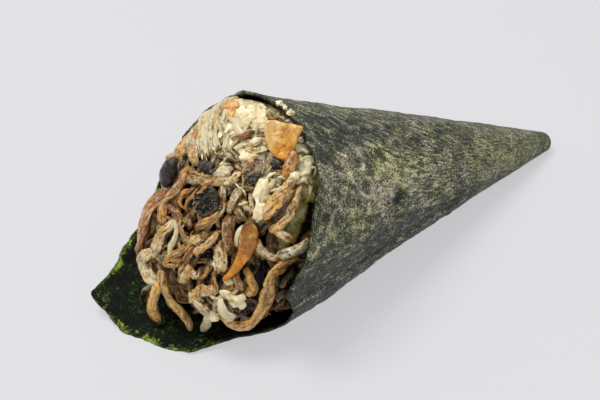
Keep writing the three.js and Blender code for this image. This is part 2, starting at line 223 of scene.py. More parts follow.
def heap_outward(x, y):
    across = heap_point(x + 0.6, y) - heap_point(x - 0.6, y)
    rise = heap_point(x, y + 0.6) - heap_point(x, y - 0.6)
    return across.cross(rise).normalized()


def heap_frame(x, y):
    """Directions across, up and out of the heap's surface at a place on it."""
    outward = heap_outward(x, y)
    across = (heap_point(x + 0.5, y) - heap_point(x - 0.5, y)).normalized()
    return across, outward.cross(across), outward


def map_place(direction):
    """Map coordinates of a direction out of the heap's centre."""
    flat = math.hypot(direction[1], direction[2])
    stretch = MAP_RADIUS * math.acos(max(-1, min(1, direction[0]))) / max(flat, 1e-6)
    return direction[1] * stretch, direction[2] * stretch


# ---------------------------------------------------------------- tints

def rgb(red, green, blue):
    """A colour given in display values from 0 to 255, as linear values."""
    linear = [((c / 255 + 0.055) / 1.055) ** 2.4 if c > 10 else c / 255 / 12.92 for c in (red, green, blue)]
    return (*linear, 1.0)


TINTS = {
    "brown": rgb(158, 104, 42),
    "tan": rgb(216, 160, 76),
    "gold": rgb(255, 204, 106),
    "beige": rgb(238, 202, 134),
    "orange": rgb(236, 162, 54),
    "pale": rgb(244, 222, 166),
    "grey": rgb(166, 150, 110),
    "olive": rgb(128, 112, 48),
    "rust": rgb(172, 104, 42),
    "ash": rgb(116, 100, 74),
    "shadow_umber": rgb(96, 50, 18),
    "dark": rgb(58, 38, 16),
    "black": rgb(20, 14, 7),
    "green": rgb(146, 144, 80),
    "cream": rgb(242, 231, 190),
    "salmon": rgb(240, 186, 122),
    "pink": rgb(222, 204, 182),
}
# The pale tint that the painted highlight on raised places leans to.
HIGHLIGHT_PALE = Vector(TINTS["pale"])


def shaded_by_relief(tint, relief, palest):
    """The tint with painted light: paler where the surface stands up (painted highlight), darker where it
    lies low (painted shade).
    """
    return tint.lerp(HIGHLIGHT_PALE, min(palest, relief)) if relief > 0 else tint * max(0.42, 1 + 1.3 * relief)


# ---------------------------------------------------------------- mesh helpers

def new_piece_mesh():
    bm = bmesh.new()
    bm.loops.layers.uv.new("UVMap")
    bm.verts.layers.float_color.new("tint")
    bm.verts.layers.float.new("smear")
    return bm


def marks(bm):
    """The mesh's layers for the tint of a vertex and its smear of cream."""
    return bm.verts.layers.float_color["tint"], bm.verts.layers.float["smear"]


def paint(bm, verts):
    """Marks plain food, which takes its colours from its material alone."""
    tint_layer, smear_layer = marks(bm)
    for vert in verts:
        vert[tint_layer] = (1, 1, 1, 1)
        vert[smear_layer] = 0.0


def finish_piece(name, bm, material, slot, *nodes):
    """Scales the mesh to metres, puts it at the apex and makes it a piece on the root body."""
    bmesh.ops.recalc_face_normals(bm, faces=bm.faces)
    bmesh.ops.translate(bm, verts=bm.verts, vec=APEX)
    bmesh.ops.scale(bm, verts=bm.verts, vec=(MM, MM, MM))
    mesh = bpy.data.meshes.new(name)
    bm.to_mesh(mesh)
    bm.free()
    mesh.shade_smooth()
    mesh.materials.append(material)
    piece = bpy.data.objects.new(name, mesh)
    bpy.context.scene.collection.objects.link(piece)
    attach(piece, "root")
    if nodes:
        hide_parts(*nodes)


def smooth_step(a, b, c, d, t):
    """The point at a share of the way from b to c on the smooth curve through a, b, c and d."""
    return 0.5 * (
        2 * b + (c - a) * t + (2 * a - 5 * b + 4 * c - d) * t * t + (3 * b - a - 3 * c + d) * t ** 3
    )


def spline(points, step):
    """Points every step along a smooth curve through the given ones, which hold x, y and lift."""
    ends = [2 * points[0] - points[1], *points, 2 * points[-1] - points[-2]]
    made = []
    for a, b, c, d in zip(ends, ends[1:], ends[2:], ends[3:]):
        count = max(1, round((c - b).length / step))
        made += [smooth_step(a, b, c, d, i / count) for i in range(count)]
    return made + [points[-1]]


def rounded(corners):
    """The outline through the given corners as a smooth closed curve."""
    corners = [Vector(c) for c in corners]
    made = []
    for i, b in enumerate(corners):
        a, c, d = corners[i - 1], corners[(i + 1) % len(corners)], corners[(i + 2) % len(corners)]
        made += [smooth_step(a, b, c, d, t) for t in (0, 0.25, 0.5, 0.75)]
    return made


# How far a strip rolls over and cups along its length
SWIRL, CURL = 1.44, 0.66


def strand_frames(path, step, seed):
    """Centres of a strip's rings, with the directions across and out of it there."""
    last = len(path) - 1
    centres = [heap_point(*p) for p in path]
    frames = []
    for i, centre in enumerate(centres):
        along = (centres[min(i + 1, last)] - centres[max(i - 1, 0)]).normalized()
        across = along.cross(heap_outward(path[i].x, path[i].y)).normalized()
        outward = across.cross(along)
        turn = SWIRL * wobble(i * step * 0.11, seed * 5.1)
        frames.append((centre, across * math.cos(turn) + outward * math.sin(turn),
                       outward * math.cos(turn) - across * math.sin(turn)))
    return frames


def add_strand(bm, route, size, tint, smear=0.0, sides=22, step=0.4, wander=0.4, lumpy=0.2, dive=1.2,
               seed=0):
    """A limp strip on the heap. The route holds (x, y, lift); size is its width and thickness."""
    width, thick = size
    path = spline([Vector(p) for p in route], step)
    rings = len(path) - 1
    elsewhere = Vector((9, 0, 0))
    for i, p in enumerate(path):
        spot = Vector((p.x * 0.22, p.y * 0.22, seed * 3.7))
        fast = spot * 3.1
        p.x += wander * (noise.noise(spot) + 0.5 * noise.noise(fast))
        p.y += wander * (noise.noise(spot + elsewhere) + 0.5 * noise.noise(fast + elsewhere))
        sunk = dive * abs(2 * i / rings - 1) ** 4
        p.z += STRIP_LIFT + 1.3 * wander * noise.noise(spot + Vector((0, 17, 0))) - sunk
    frames = strand_frames(path, step, seed)
    grid = bmesh.ops.create_grid(bm, x_segments=rings, y_segments=sides, size=1)["verts"]
    uv = bm.loops.layers.uv["UVMap"]
    length = rings * step
    for face in {face for vert in grid for face in vert.link_faces}:
        for loop in face.loops:
            loop[uv].uv = ((loop.vert.co.x + 1) * length / 20, (loop.vert.co.y + 1) / 2)
    tint_layer, smear_layer = marks(bm)
    tint = Vector(tint)
    rounding = 0.8 * width
    for vert in grid:
        angle = math.pi * (vert.co.y + 1)
        ring = round((vert.co.x + 1) / 2 * rings)
        centre, across, outward = frames[ring]
        run = ring * step
        from_end = min(run, length - run)
        end = math.sqrt(max(0.0, 1 - max(0.0, 1 - from_end / rounding) ** 2))
        wide = 1 + 0.55 * wobble(run * 0.2, seed * 2.3, 4)
        deep = 1 + 0.4 * wobble(run * 0.23, seed * 2.9, 8)
        side, rise = math.cos(angle), math.sin(angle)
        crease = wobble(run * 0.13, side * 1.9, rise * 1.9 + seed * 1.9)
        ridge = wobble(run * 0.35, side * 3.2, rise * 3.2 + seed * 1.9 + 40)
        wrinkle = wobble(run * 1.3, side * 1.5, rise * 1.5 + seed * 1.9)
        relief = 1.4 * crease + 1.0 * ridge + 0.8 * wrinkle
        girth = end * (1 + lumpy * relief)
        squared = side * abs(side) ** -0.15 if side else 0.0
        cup = CURL * wobble(run * 0.1, seed * 4.7, 3)
        sag = cup * wide * width * (side * side - 0.5)
        aside = squared * girth * wide * width / 2
        up = girth * rise * deep * thick / 2 + end * sag
        vert.co = kept_in(centre + across * aside + outward * up)
        # Random tone along the strip, a painted highlight on its two edges, and painted light and shade by
        # its relief.
        tone_and_painted_light = 0.6 * wobble(run * 0.2, seed * 7.7, 5) + 0.5 * side ** 8 + 0.55 * relief
        vert[tint_layer] = shaded_by_relief(tint, tone_and_painted_light, 0.75)
        vert[smear_layer] = smear
    bmesh.ops.remove_doubles(bm, verts=grid, dist=1e-4)


def add_lump(bm, at, half, tint, smear=0.0, detail=4, lumpy=0.15, scale=0.5, seed=0, turn=0.0):
    """A soft creased lump on the heap, half being its half sizes across, up the map and outwards."""
    x, y, lift = at
    across, upward, outward = heap_frame(x, y)
    centre = heap_point(x, y, lift + STRIP_LIFT)
    turned = Matrix.Rotation(turn, 3, "Z")
    tint_layer, smear_layer = marks(bm)
    tint = Vector(tint)
    for vert in bmesh.ops.create_icosphere(bm, subdivisions=detail, radius=1)["verts"]:
        local = turned @ Vector([u * h for u, h in zip(vert.co, half)])
        spot = local * scale + Vector((seed * 3.1, 0.3, 0.7))
        relief = noise.noise(spot) + 0.5 * noise.noise(spot * 2.1)
        crease = abs(noise.noise(spot * 1.7 + Vector((0, 5, 0))))
        relief += 0.3 - 0.9 * crease + 0.3 * noise.noise(spot * 4.3)
        off = across * local.x + upward * local.y + outward * local.z
        vert.co = kept_in(centre + off * (1 + lumpy * relief))
        # Painted light by relief: raised places paler, low places darker as painted shade.
        vert[tint_layer] = shaded_by_relief(tint, relief * min(1.0, 2 * lumpy), 0.7)
        vert[smear_layer] = smear


def fused(bm, voxel):
    """Closes overlapping lumps and strands into one soft skin."""
    mesh = bpy.data.meshes.new("fused")
    bm.to_mesh(mesh)
    bm.free()
    source = bpy.data.objects.new("fused", mesh)
    bpy.context.scene.collection.objects.link(source)
    remesh = source.modifiers.new("skin", "REMESH")
    remesh.mode = "VOXEL"
    remesh.voxel_size = voxel
    depsgraph = bpy.context.evaluated_depsgraph_get()
    skin = bpy.data.meshes.new_from_object(source.evaluated_get(depsgraph))
    made = bmesh.new()
    made.from_mesh(skin)
    bpy.data.objects.remove(source)
    bpy.data.meshes.remove(mesh)
    bpy.data.meshes.remove(skin)
    bmesh.ops.smooth_vert(made, verts=made.verts, factor=0.5,
                          use_axis_x=True, use_axis_y=True, use_axis_z=True)
    return made


# ---------------------------------------------------------------- materials

def new_material(name):
    material = bpy.data.materials.new(name)
    material.use_nodes = True
    tree = material.node_tree
    return material, tree, tree.nodes["Principled BSDF"]


def node(tree, kind, inputs=None, **settings):
    """A node with its settings, and its inputs given as values or as sockets to link."""
    made = tree.nodes.new(kind)
    for name, value in settings.items():
        setattr(made, name, value)
    for name, value in (inputs or {}).items():
        if isinstance(value, bpy.types.NodeSocket):
            tree.links.new(value, made.inputs[name])
        else:
            made.inputs[name].default_value = value
    return made


def in_mm(tree):
    """Object coordinates in millimetres."""
    place = node(tree, "ShaderNodeTexCoord").outputs["Object"]
    return node(tree, "ShaderNodeVectorMath", {0: place, "Scale": 1000.0}, operation="SCALE").outputs[0]


def over_sheet(tree, scale):
    """The piece's UV map, which runs along its fibres and across them, stretched by a scale."""
    place = node(tree, "ShaderNodeUVMap", uv_map="UVMap").outputs["UV"]
    return node(tree, "ShaderNodeMapping", {"Vector": place, "Scale": scale}).outputs["Vector"]


def speckle(tree, vector, scale, detail=4.0, roughness=0.55, distortion=0.0):
    inputs = {"Vector": vector, "Scale": scale, "Detail": detail, "Roughness": roughness,
              "Distortion": distortion}
    return node(tree, "ShaderNodeTexNoise", inputs).outputs["Fac"]


def ramp(tree, factor, *stops):
    """A colour ramp; each stop is a position and a colour or a grey level."""
    made = node(tree, "ShaderNodeValToRGB", {"Fac": factor})
    elements = made.color_ramp.elements
    while len(elements) < len(stops):
        elements.new(0.5)
    for element, (position, colour) in zip(elements, stops):
        element.position = position
        element.color = colour if isinstance(colour, tuple) else (colour, colour, colour, 1)
    return made.outputs["Color"]


def mixed(tree, factor, first, second, blend="MIX"):
    made = node(tree, "ShaderNodeMix", data_type="RGBA", blend_type=blend)
    for socket, value in ((made.inputs[0], factor), (made.inputs[6], first), (made.inputs[7], second)):
        if isinstance(value, bpy.types.NodeSocket):
            tree.links.new(value, socket)
        else:
            socket.default_value = value
    return made.outputs[2]


def maths(tree, operation, first, second, third=0.0):
    made = node(tree, "ShaderNodeMath", {0: first, 1: second, 2: third}, operation=operation)
    return made.outputs[0]


def plus(tree, first, share, second):
    """The first value and a share of the second."""
    return maths(tree, "MULTIPLY_ADD", second, share, first)


def summed(tree, first, share, second, other):
    """A share of the first value and another of the second."""
    return maths(tree, "MULTIPLY_ADD", first, share, maths(tree, "MULTIPLY", second, other))


def attribute(tree, name, output="Fac"):
    return node(tree, "ShaderNodeAttribute", attribute_name=name).outputs[output]


def bump(tree, shader, height, strength, distance):
    """Relief on the surface, its distance in millimetres."""
    inputs = {"Height": height, "Strength": strength, "Distance": distance * MM}
    tree.links.new(node(tree, "ShaderNodeBump", inputs).outputs["Normal"], shader.inputs["Normal"])


def let_light_in(shader, weight, depth, radius=(1.0, 0.7, 0.4)):
    """Light scatters under the surface, to a depth in millimetres."""
    shader.inputs["Subsurface Weight"].default_value = weight
    shader.inputs["Subsurface Radius"].default_value = radius
    shader.inputs["Subsurface Scale"].default_value = depth * MM


def nori_material():
    """Toasted sheet: a weave of green and grey fibres outside with painted light and shade, dark and wet
    inside, green where torn.
    """
    material, tree, shader = new_material("toasted_nori")
    place = in_mm(tree)
    fibre = speckle(tree, over_sheet(tree, (34, 125, 1)), 1.0, 3.0, 0.6, 0.5)
    fleck = speckle(tree, place, 2.7, 3.0, 0.75, 0.2)
    patch = speckle(tree, place, 0.09, 3.0, 0.6)
    cloud = speckle(tree, place, 0.25, 3.0, 0.6, 0.4)
    # The sheet's painted light and shade, from the mesh.
    painted_light = attribute(tree, "painted_light")
    weave = maths(tree, "SUBTRACT", summed(tree, fibre, 0.4, fleck, 0.6), 0.1)
    weave = maths(tree, "ADD", plus(tree, weave, 0.2, cloud), painted_light)
    colour = ramp(tree, weave, (0.44, rgb(6, 12, 8)), (0.485, rgb(38, 48, 28)), (0.52, rgb(94, 102, 56)),
                  (0.555, rgb(160, 162, 102)), (0.6, rgb(228, 222, 166)))
    grey = ramp(tree, weave, (0.44, rgb(12, 13, 12)), (0.485, rgb(48, 46, 41)), (0.52, rgb(100, 95, 80)),
                (0.555, rgb(160, 152, 130)), (0.6, rgb(226, 214, 188)))
    colour = mixed(tree, ramp(tree, patch, (0.42, 0.1), (0.58, 0.9)), colour, grey)
    yellow = speckle(tree, place, 1.05, 3.0, 0.6, 0.5)
    colour = mixed(tree, ramp(tree, yellow, (0.54, 0.0), (0.68, 0.42)), colour, rgb(126, 140, 50))
    # Where the painted shade is deepest, the sheet is also made greyer and cooler.
    painted_shade_cool = ramp(tree, maths(tree, "ADD", painted_light, 0.5), (0.455, 0.85), (0.5, 0.0))
    colour = mixed(tree, painted_shade_cool, colour, mixed(tree, 1.0, grey, rgb(178, 214, 206), "MULTIPLY"))
    inner = attribute(tree, "inner")
    blots = plus(tree, summed(tree, yellow, 0.35, fleck, 0.5), 0.35, cloud)
    wet = ramp(tree, blots, (0.56, rgb(2, 4, 2)), (0.61, rgb(8, 14, 5)), (0.66, rgb(22, 42, 9)),
               (0.72, rgb(84, 112, 44)))
    colour = mixed(tree, inner, colour, wet)
    border = ramp(tree, blots, (0.56, rgb(26, 40, 8)), (0.61, rgb(76, 104, 20)), (0.67, rgb(158, 176, 72)))
    torn = maths(tree, "ADD", attribute(tree, "edge"), maths(tree, "MULTIPLY_ADD", blots, 2.6, -1.56))
    colour = mixed(tree, ramp(tree, torn, (0.45, 0.0), (0.65, 0.95)), colour, border)
    tree.links.new(colour, shader.inputs["Base Color"])
    shine = ramp(tree, fleck, (0.42, 0.6), (0.58, 0.42))
    shine = mixed(tree, inner, shine, (0.26, 0.26, 0.26, 1))
    tree.links.new(shine, shader.inputs["Roughness"])
    mirror = mixed(tree, inner, (0.5, 0.5, 0.5, 1), (0.2, 0.2, 0.2, 1))
    tree.links.new(mirror, shader.inputs["Specular IOR Level"])
    bump(tree, shader, plus(tree, plus(tree, fibre, 1.2, yellow), 0.8, fleck), 0.9, 0.5)
    return material


def mushroom_material():
    """Cooked mushroom: the strip's tint with its painted light and shade, streaks along it, and a smear of
    cream over it.
    """
    material, tree, shader = new_material("cooked_mushroom")
    place = in_mm(tree)
    streak = speckle(tree, over_sheet(tree, (7, 13, 1)), 1.0, 4.0, 0.6, 0.6)
    blotch = speckle(tree, place, 0.5, 4.0, 0.65, 0.4)
    grain = speckle(tree, place, 2.4, 3.0, 0.65, 0.3)
    mottle = summed(tree, streak, 0.55, grain, 0.45)
    shade = ramp(tree, mottle, (0.4, rgb(132, 90, 44)), (0.5, rgb(232, 212, 168)),
                 (0.58, rgb(255, 252, 232)))
    # The tint attribute holds each strip's colour with its painted light and shade.
    colour = mixed(tree, 1.0, attribute(tree, "tint", "Color"), shade, "MULTIPLY")
    dark = ramp(tree, plus(tree, blotch, 0.4, grain), (0.71, 0.0), (0.82, 0.7))
    colour = mixed(tree, dark, colour, mixed(tree, 1.0, colour, rgb(170, 122, 70), "MULTIPLY"))
    cream = maths(tree, "MULTIPLY_ADD", blotch, 0.9, -0.45)
    cream = plus(tree, cream, 0.5, attribute(tree, "smear"))
    cream = plus(tree, plus(tree, cream, 0.35, streak), 0.35, grain)
    cream = ramp(tree, cream, (0.465, 0.0), (0.61, 0.85))
    colour = mixed(tree, cream, colour, rgb(226, 214, 174))
    tree.links.new(colour, shader.inputs["Base Color"])
    tree.links.new(ramp(tree, blotch, (0.4, 0.25), (0.6, 0.42)), shader.inputs["Roughness"])
    let_light_in(shader, 0.12, 0.6)
    shader.inputs["Coat Weight"].default_value = 0.4
    shader.inputs["Coat Roughness"].default_value = 0.12
    bump(tree, shader, plus(tree, plus(tree, streak, 0.3, cream), 0.8, grain), 0.7, 0.4)
    return material


def moist_food(name, colours, roughness, grain_scale=1.2):
    """Moist food: a colour ramp over fine and coarse noise, some light let through, a soft relief."""
    material, tree, shader = new_material(name)
    place = in_mm(tree)
    coarse = speckle(tree, place, 0.3 * grain_scale, 4.0, 0.6, 0.3)
    fine = speckle(tree, place, 1.6 * grain_scale, 3.0, 0.6)
    both = summed(tree, coarse, 0.7, fine, 0.3)
    stops = [(0.36 + 0.28 * i / (len(colours) - 1), rgb(*c)) for i, c in enumerate(colours)]
    tree.links.new(ramp(tree, both, *stops), shader.inputs["Base Color"])
    shine = ramp(tree, coarse, (0.35, roughness[0]), (0.65, roughness[1]))
    tree.links.new(shine, shader.inputs["Roughness"])
    let_light_in(shader, 0.2, 1.0)
    bump(tree, shader, both, 0.5, 0.3)
    return material


def cap_material(name):
    """Wet dark cap skin; what the mesh marks, such as gill edges, is paler."""
    material, tree, shader = new_material(name)
    place = in_mm(tree)
    coarse = speckle(tree, place, 0.35, 4.0, 0.62, 0.4)
    fine = speckle(tree, place, 1.6, 4.0, 0.65, 0.3)
    both = summed(tree, coarse, 0.6, fine, 0.4)
    skin = ramp(tree, both, (0.4, rgb(11, 9, 5)), (0.5, rgb(33, 28, 18)), (0.6, rgb(92, 82, 62)))
    marked = plus(tree, maths(tree, "SUBTRACT", attribute(tree, "smear"), 0.7), 1.4, fine)
    colour = mixed(tree, ramp(tree, marked, (0.35, 0.0), (0.9, 0.9)), skin, rgb(168, 138, 92))
    tree.links.new(colour, shader.inputs["Base Color"])
    tree.links.new(ramp(tree, fine, (0.4, 0.45), (0.6, 0.3)), shader.inputs["Roughness"])
    bump(tree, shader, both, 0.8, 0.5)
    return material


def slice_material(name):
    """A golden slice: its own tint, blotched, with a paler skin where the mesh asks for it."""
    material, tree, shader = new_material(name)
    place = in_mm(tree)
    coarse = speckle(tree, place, 0.45, 4.0, 0.65, 0.6)
    fine = speckle(tree, place, 2.0, 3.0, 0.6, 0.3)
    both = summed(tree, coarse, 0.6, fine, 0.4)
    shade = ramp(tree, both, (0.42, rgb(206, 176, 122)), (0.5, rgb(240, 232, 212)),
                 (0.57, rgb(255, 255, 250)))
    flesh = mixed(tree, 1.0, attribute(tree, "tint", "Color"), shade, "MULTIPLY")
    skin = plus(tree, maths(tree, "SUBTRACT", attribute(tree, "smear"), 0.7), 1.4, coarse)
    colour = mixed(tree, ramp(tree, skin, (0.35, 0.0), (0.8, 0.9)), flesh, rgb(240, 208, 150))
    tree.links.new(colour, shader.inputs["Base Color"])
    shader.inputs["Roughness"].default_value = 0.3
    let_light_in(shader, 0.06, 1.0, (1.0, 0.6, 0.2))
    bump(tree, shader, both, 0.7, 0.45)
    return material


# ---------------------------------------------------------------- nori

def bell(value, middle, spread):
    return math.exp(-((value - middle) / spread) ** 2)


def folds_and_dent(reach, turn):
    """Height of the long folds by the sheet's free edge, less the dent under them."""
    rise = 0.0
    for at, drift, size, width in FOLDS:
        line = at + drift * (reach - 80) + 3 * wobble(reach * 0.05, at)
        off = (turn - line) / width
        near = clamped((reach - 48) / 12)
        rise += size * near * (math.exp(-off * off) - 0.7 * math.exp(-(off + 1.8) ** 2))
    dent_turn, dent_reach, dent_size, dent_depth = DENT
    gone = math.hypot(math.radians(turn - dent_turn) * reach * SIN, reach - dent_reach) / dent_size
    return rise - dent_depth * math.exp(-gone * gone)


def crumple(place):
    wide = noise.noise(place * 0.1)
    middle = noise.noise(place * 0.32 + Vector((5, 0, 0)))
    fine = noise.noise(place * 0.8 + Vector((0, 7, 0)))
    return CRUMPLE * (wide + 0.55 * middle + 0.4 * fine)


def ragged(turn):
    """How far the sheet's edge wanders from a clean cut: most where the flap is torn."""
    torn = 1 + 1.4 * bell(turn, -48, 9)
    return torn * RAGGED * (wobble(turn * 0.11, 0) + 0.6 * wobble(turn * 0.45, 3))


def rim_rise(reach, wound):
    """The sheet stands up a little at the top of its near edge."""
    near = clamped((reach - RISE_FROM) / (RISE_TO - RISE_FROM))
    return RISE * near * near * bell(wound, RISE_TURN, RISE_SPREAD)


def belly(reach, turn):
    """The sheet swells a little low on its near side."""
    return BELLY * clamped((reach - BELLY_FROM) / 25) * bell(turn, BELLY_TURN, BELLY_SPREAD)


def edge_share(reach, end, turn):
    """How close a place is to the flap's edge: wide and bright where it is torn, thin in front."""
    if not -75 < turn < 20:
        return 0.0
    if turn < -36:
        return 0.9 * max(0.0, 1 - (end - reach) / FLAP_EDGE)
    front = clamped((turn + 30) / 20)
    return (0.4 + 0.4 * front) * max(0.0, 1 - (end - reach) / HEM)


def fibre_place(reach, wound):
    """Place along and across the sheet's fibres: they follow the cone below and slant over its top."""
    slant = max(0.0, min(1.0, (wound - 95) / 70, (270 - wound) / 70))
    across = math.radians(wound) * SIN - FIBRE_SLANT * slant * math.log(reach / FIBRE_REACH)
    return reach / 100, FIBRE_REACH * across / 100


def nori_painted_light(reach, turn):
    """Painted light: a lit band on the near side, a lighter tip, painted shade on top by the rim and below.
    """
    # Painted highlight where the near side faces the light; painted shade by the rim on top and on the low
    # side.
    lit_band = bell(turn, 120, 20) * bell(reach, 92, 20)
    tip = bell(reach, 30, 20) * bell(turn, 110, 40)
    rim_shade = bell(turn, 155, 15) * clamped((reach - 70) / 25)
    below = clamped((100 - turn) / 20) * clamped(turn / 20)
    return 0.056 * lit_band + 0.036 * tip - 0.024 * rim_shade - 0.034 * below - 0.004


def nori_sheet():
    """The wound sheet: its outer face from the tip to the edge, then its inner face back to the hollow."""
    bm = bmesh.new()
    uv = bm.loops.layers.uv.new("UVMap")
    inner_layer = bm.verts.layers.float.new("inner")
    edge_layer = bm.verts.layers.float.new("edge")
    painted_light_layer = bm.verts.layers.float.new("painted_light")
    rows = NORI_OUTER_ROWS + NORI_INNER_ROWS + 1
    grid = bmesh.ops.create_grid(bm, x_segments=NORI_COLUMNS, y_segments=rows, size=1)["verts"]
    flat = {}
    for vert in grid:
        column = round((vert.co.x + 1) / 2 * NORI_COLUMNS)
        row = round((vert.co.y + 1) / 2 * rows)
        wound = LAP_TURN + 360 * (column % NORI_COLUMNS / (NORI_COLUMNS - 1) * (1 - LAP_STEP))
        turn = (wound + 180) % 360 - 180
        inner = row > NORI_OUTER_ROWS
        share = (rows - row) / NORI_INNER_ROWS if inner else row / NORI_OUTER_ROWS
        share = share ** 1.1
        start = HOLLOW_REACH if inner else TIP_REACH
        end = rim_reach(turn) + ragged(turn)
        reach = start + (end - start) * share
        relief = folds_and_dent(reach, turn)
        if share < 1e-6:
            vert.co = OUT * (start * COS)
        else:
            raised = relief + rim_rise(reach, wound) + belly(reach, turn)
            sunk = crumple(cone_point(reach, turn, 0)) * min(1, reach / 60) - raised
            vert.co = cone_point(reach, turn, (INNER_DEPTH if inner else lap_depth(turn)) + sunk)
            axis = OUT * vert.co.dot(OUT)
            from_tip = min(1.0, (reach - TIP_REACH) / TIP_ROUND)
            vert.co = axis.lerp(vert.co, math.sqrt(1 - (1 - from_tip) ** 2))
            vert.co.z = max(vert.co.z, 0.0)
        vert[inner_layer] = float(inner)
        vert[edge_layer] = edge_share(reach, end, turn)
        # Painted light and shade, with fold crests painted lighter and their grooves and the dent painted
        # darker.
        vert[painted_light_layer] = nori_painted_light(reach, turn) + 0.06 * relief
        flat[vert] = fibre_place(reach, wound)
    for face in bm.faces:
        for loop in face.loops:
            loop[uv].uv = flat[loop.vert]
    bmesh.ops.remove_doubles(bm, verts=bm.verts, dist=1e-4)
    return bm


# ---------------------------------------------------------------- rice

def rice_plug():
    """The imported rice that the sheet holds, its front banked up on the near side."""
    bm = new_piece_mesh()
    grid = bmesh.ops.create_grid(bm, x_segments=PLUG_COLUMNS, y_segments=PLUG_ROWS, size=1)["verts"]
    for vert in grid:
        turn = 180 * vert.co.x
        row = round((vert.co.y + 1) / 2 * PLUG_ROWS)
        start = HOLLOW_REACH + 4
        if row == 0:
            vert.co = OUT * (start * COS - 1)
            continue
        if row <= PLUG_WALL_ROWS:
            reach = start + (plug_reach(1, turn) - start) * row / PLUG_WALL_ROWS
            vert.co = cone_point(reach, turn, INSIDE)
        else:
            share = (PLUG_ROWS - row) / (PLUG_ROWS - PLUG_WALL_ROWS)
            reach = plug_reach(share, turn) + 0.5 * wobble(share * 9, turn * 0.12, 1) * share
            vert.co = (OUT * (reach * COS)).lerp(cone_point(reach, turn, INSIDE), share)
    paint(bm, grid)
    bmesh.ops.remove_doubles(bm, verts=bm.verts, dist=1e-3)
    return bm


def add_grain(bm, centre, turned, size, seed):
    """A cooked grain: long, a little bent and pinched, with blunt ends."""
    ball = bmesh.ops.create_icosphere(bm, subdivisions=3, radius=1)["verts"]
    for vert in ball:
        u = vert.co.copy()
        local = Vector((u.x * size, u.y * size * 0.4, u.z * size * 0.36))
        local.z += 0.12 * size * (1 - u.x * u.x)
        local *= 1 + 0.08 * noise.noise(u * 1.6 + Vector((seed, 0, 0)))
        vert.co = kept_in(centre + turned @ local, -0.25)
    paint(bm, ball)


def rice_grains():
    """Grains pressed into the bank."""
    bm = new_piece_mesh()
    draw = random.Random(11)
    for i in range(GRAIN_COUNT):
        turn = draw.uniform(88, 176)
        depth = draw.uniform(2.6, 8)
        share = 1 - depth / (RIM_REACH * SIN)
        reach = plug_reach(share, turn) + draw.uniform(-1.6, 0.1)
        centre = cone_point(reach, turn, INSIDE + depth)
        turned = Euler([draw.uniform(0, math.tau) for _ in range(3)]).to_matrix()
        add_grain(bm, centre, turned, draw.uniform(2.3, 2.9), i * 1.3)
    return bm


def rice_by_rim():
    """Rice between the heap and the near rim; its dark greenish colour is painted shade and a painted
    reflection of the sheet.
    """
    bm = new_piece_mesh()
    for i, (at, half) in enumerate([
        ((26, 24.5, -1.9), (2.6, 3.8, 1.4)), ((27, 19, -2.4), (2.4, 4.5, 1.6)),
        ((28, 12.5, -2.6), (2.4, 4.5, 1.6)), ((23.5, 28, -1.7), (3.0, 2.8, 1.2)),
    ]):
        add_lump(bm, at, half, TINTS["green"], detail=5, lumpy=0.25, seed=60 + i)
    return bm


def pale_grains():
    """Whole pale grains that show by the near rim: place, half sizes and turn."""
    bm = new_piece_mesh()
    for i, (at, half, turn) in enumerate([
        ((22.2, 30, -0.2), (1.15, 2.2, 0.9), 0.25), ((20, 29.6, -0.9), (0.7, 2.2, 0.7), 0.1),
        ((26.4, 25, -0.8), (0.6, 1.9, 0.6), 0.3), ((24.6, 27, -1.2), (0.8, 1.6, 0.6), -0.4),
    ]):
        add_lump(bm, at, half, TINTS["pale"], lumpy=0.2, seed=70 + i, turn=turn)
    return bm


def rice_crumbs():
    """Broken grains that stick to the sheet on top, by its rim."""
    bm = new_piece_mesh()
    for i, (reach, wound, size) in enumerate(CRUMBS):
        ball = bmesh.ops.create_icosphere(bm, subdivisions=4, radius=1)["verts"]
        centre = cone_point(reach, wound, -0.35 * size - rim_rise(reach, wound))
        for vert in ball:
            spot = vert.co * 1.3 + Vector((i * 3.7, 0, 0))
            grow = size * (1 + 0.7 * noise.noise(spot) + 0.3 * noise.noise(spot * 2.3))
            vert.co = centre + vert.co * grow
        paint(bm, ball)
    return bm
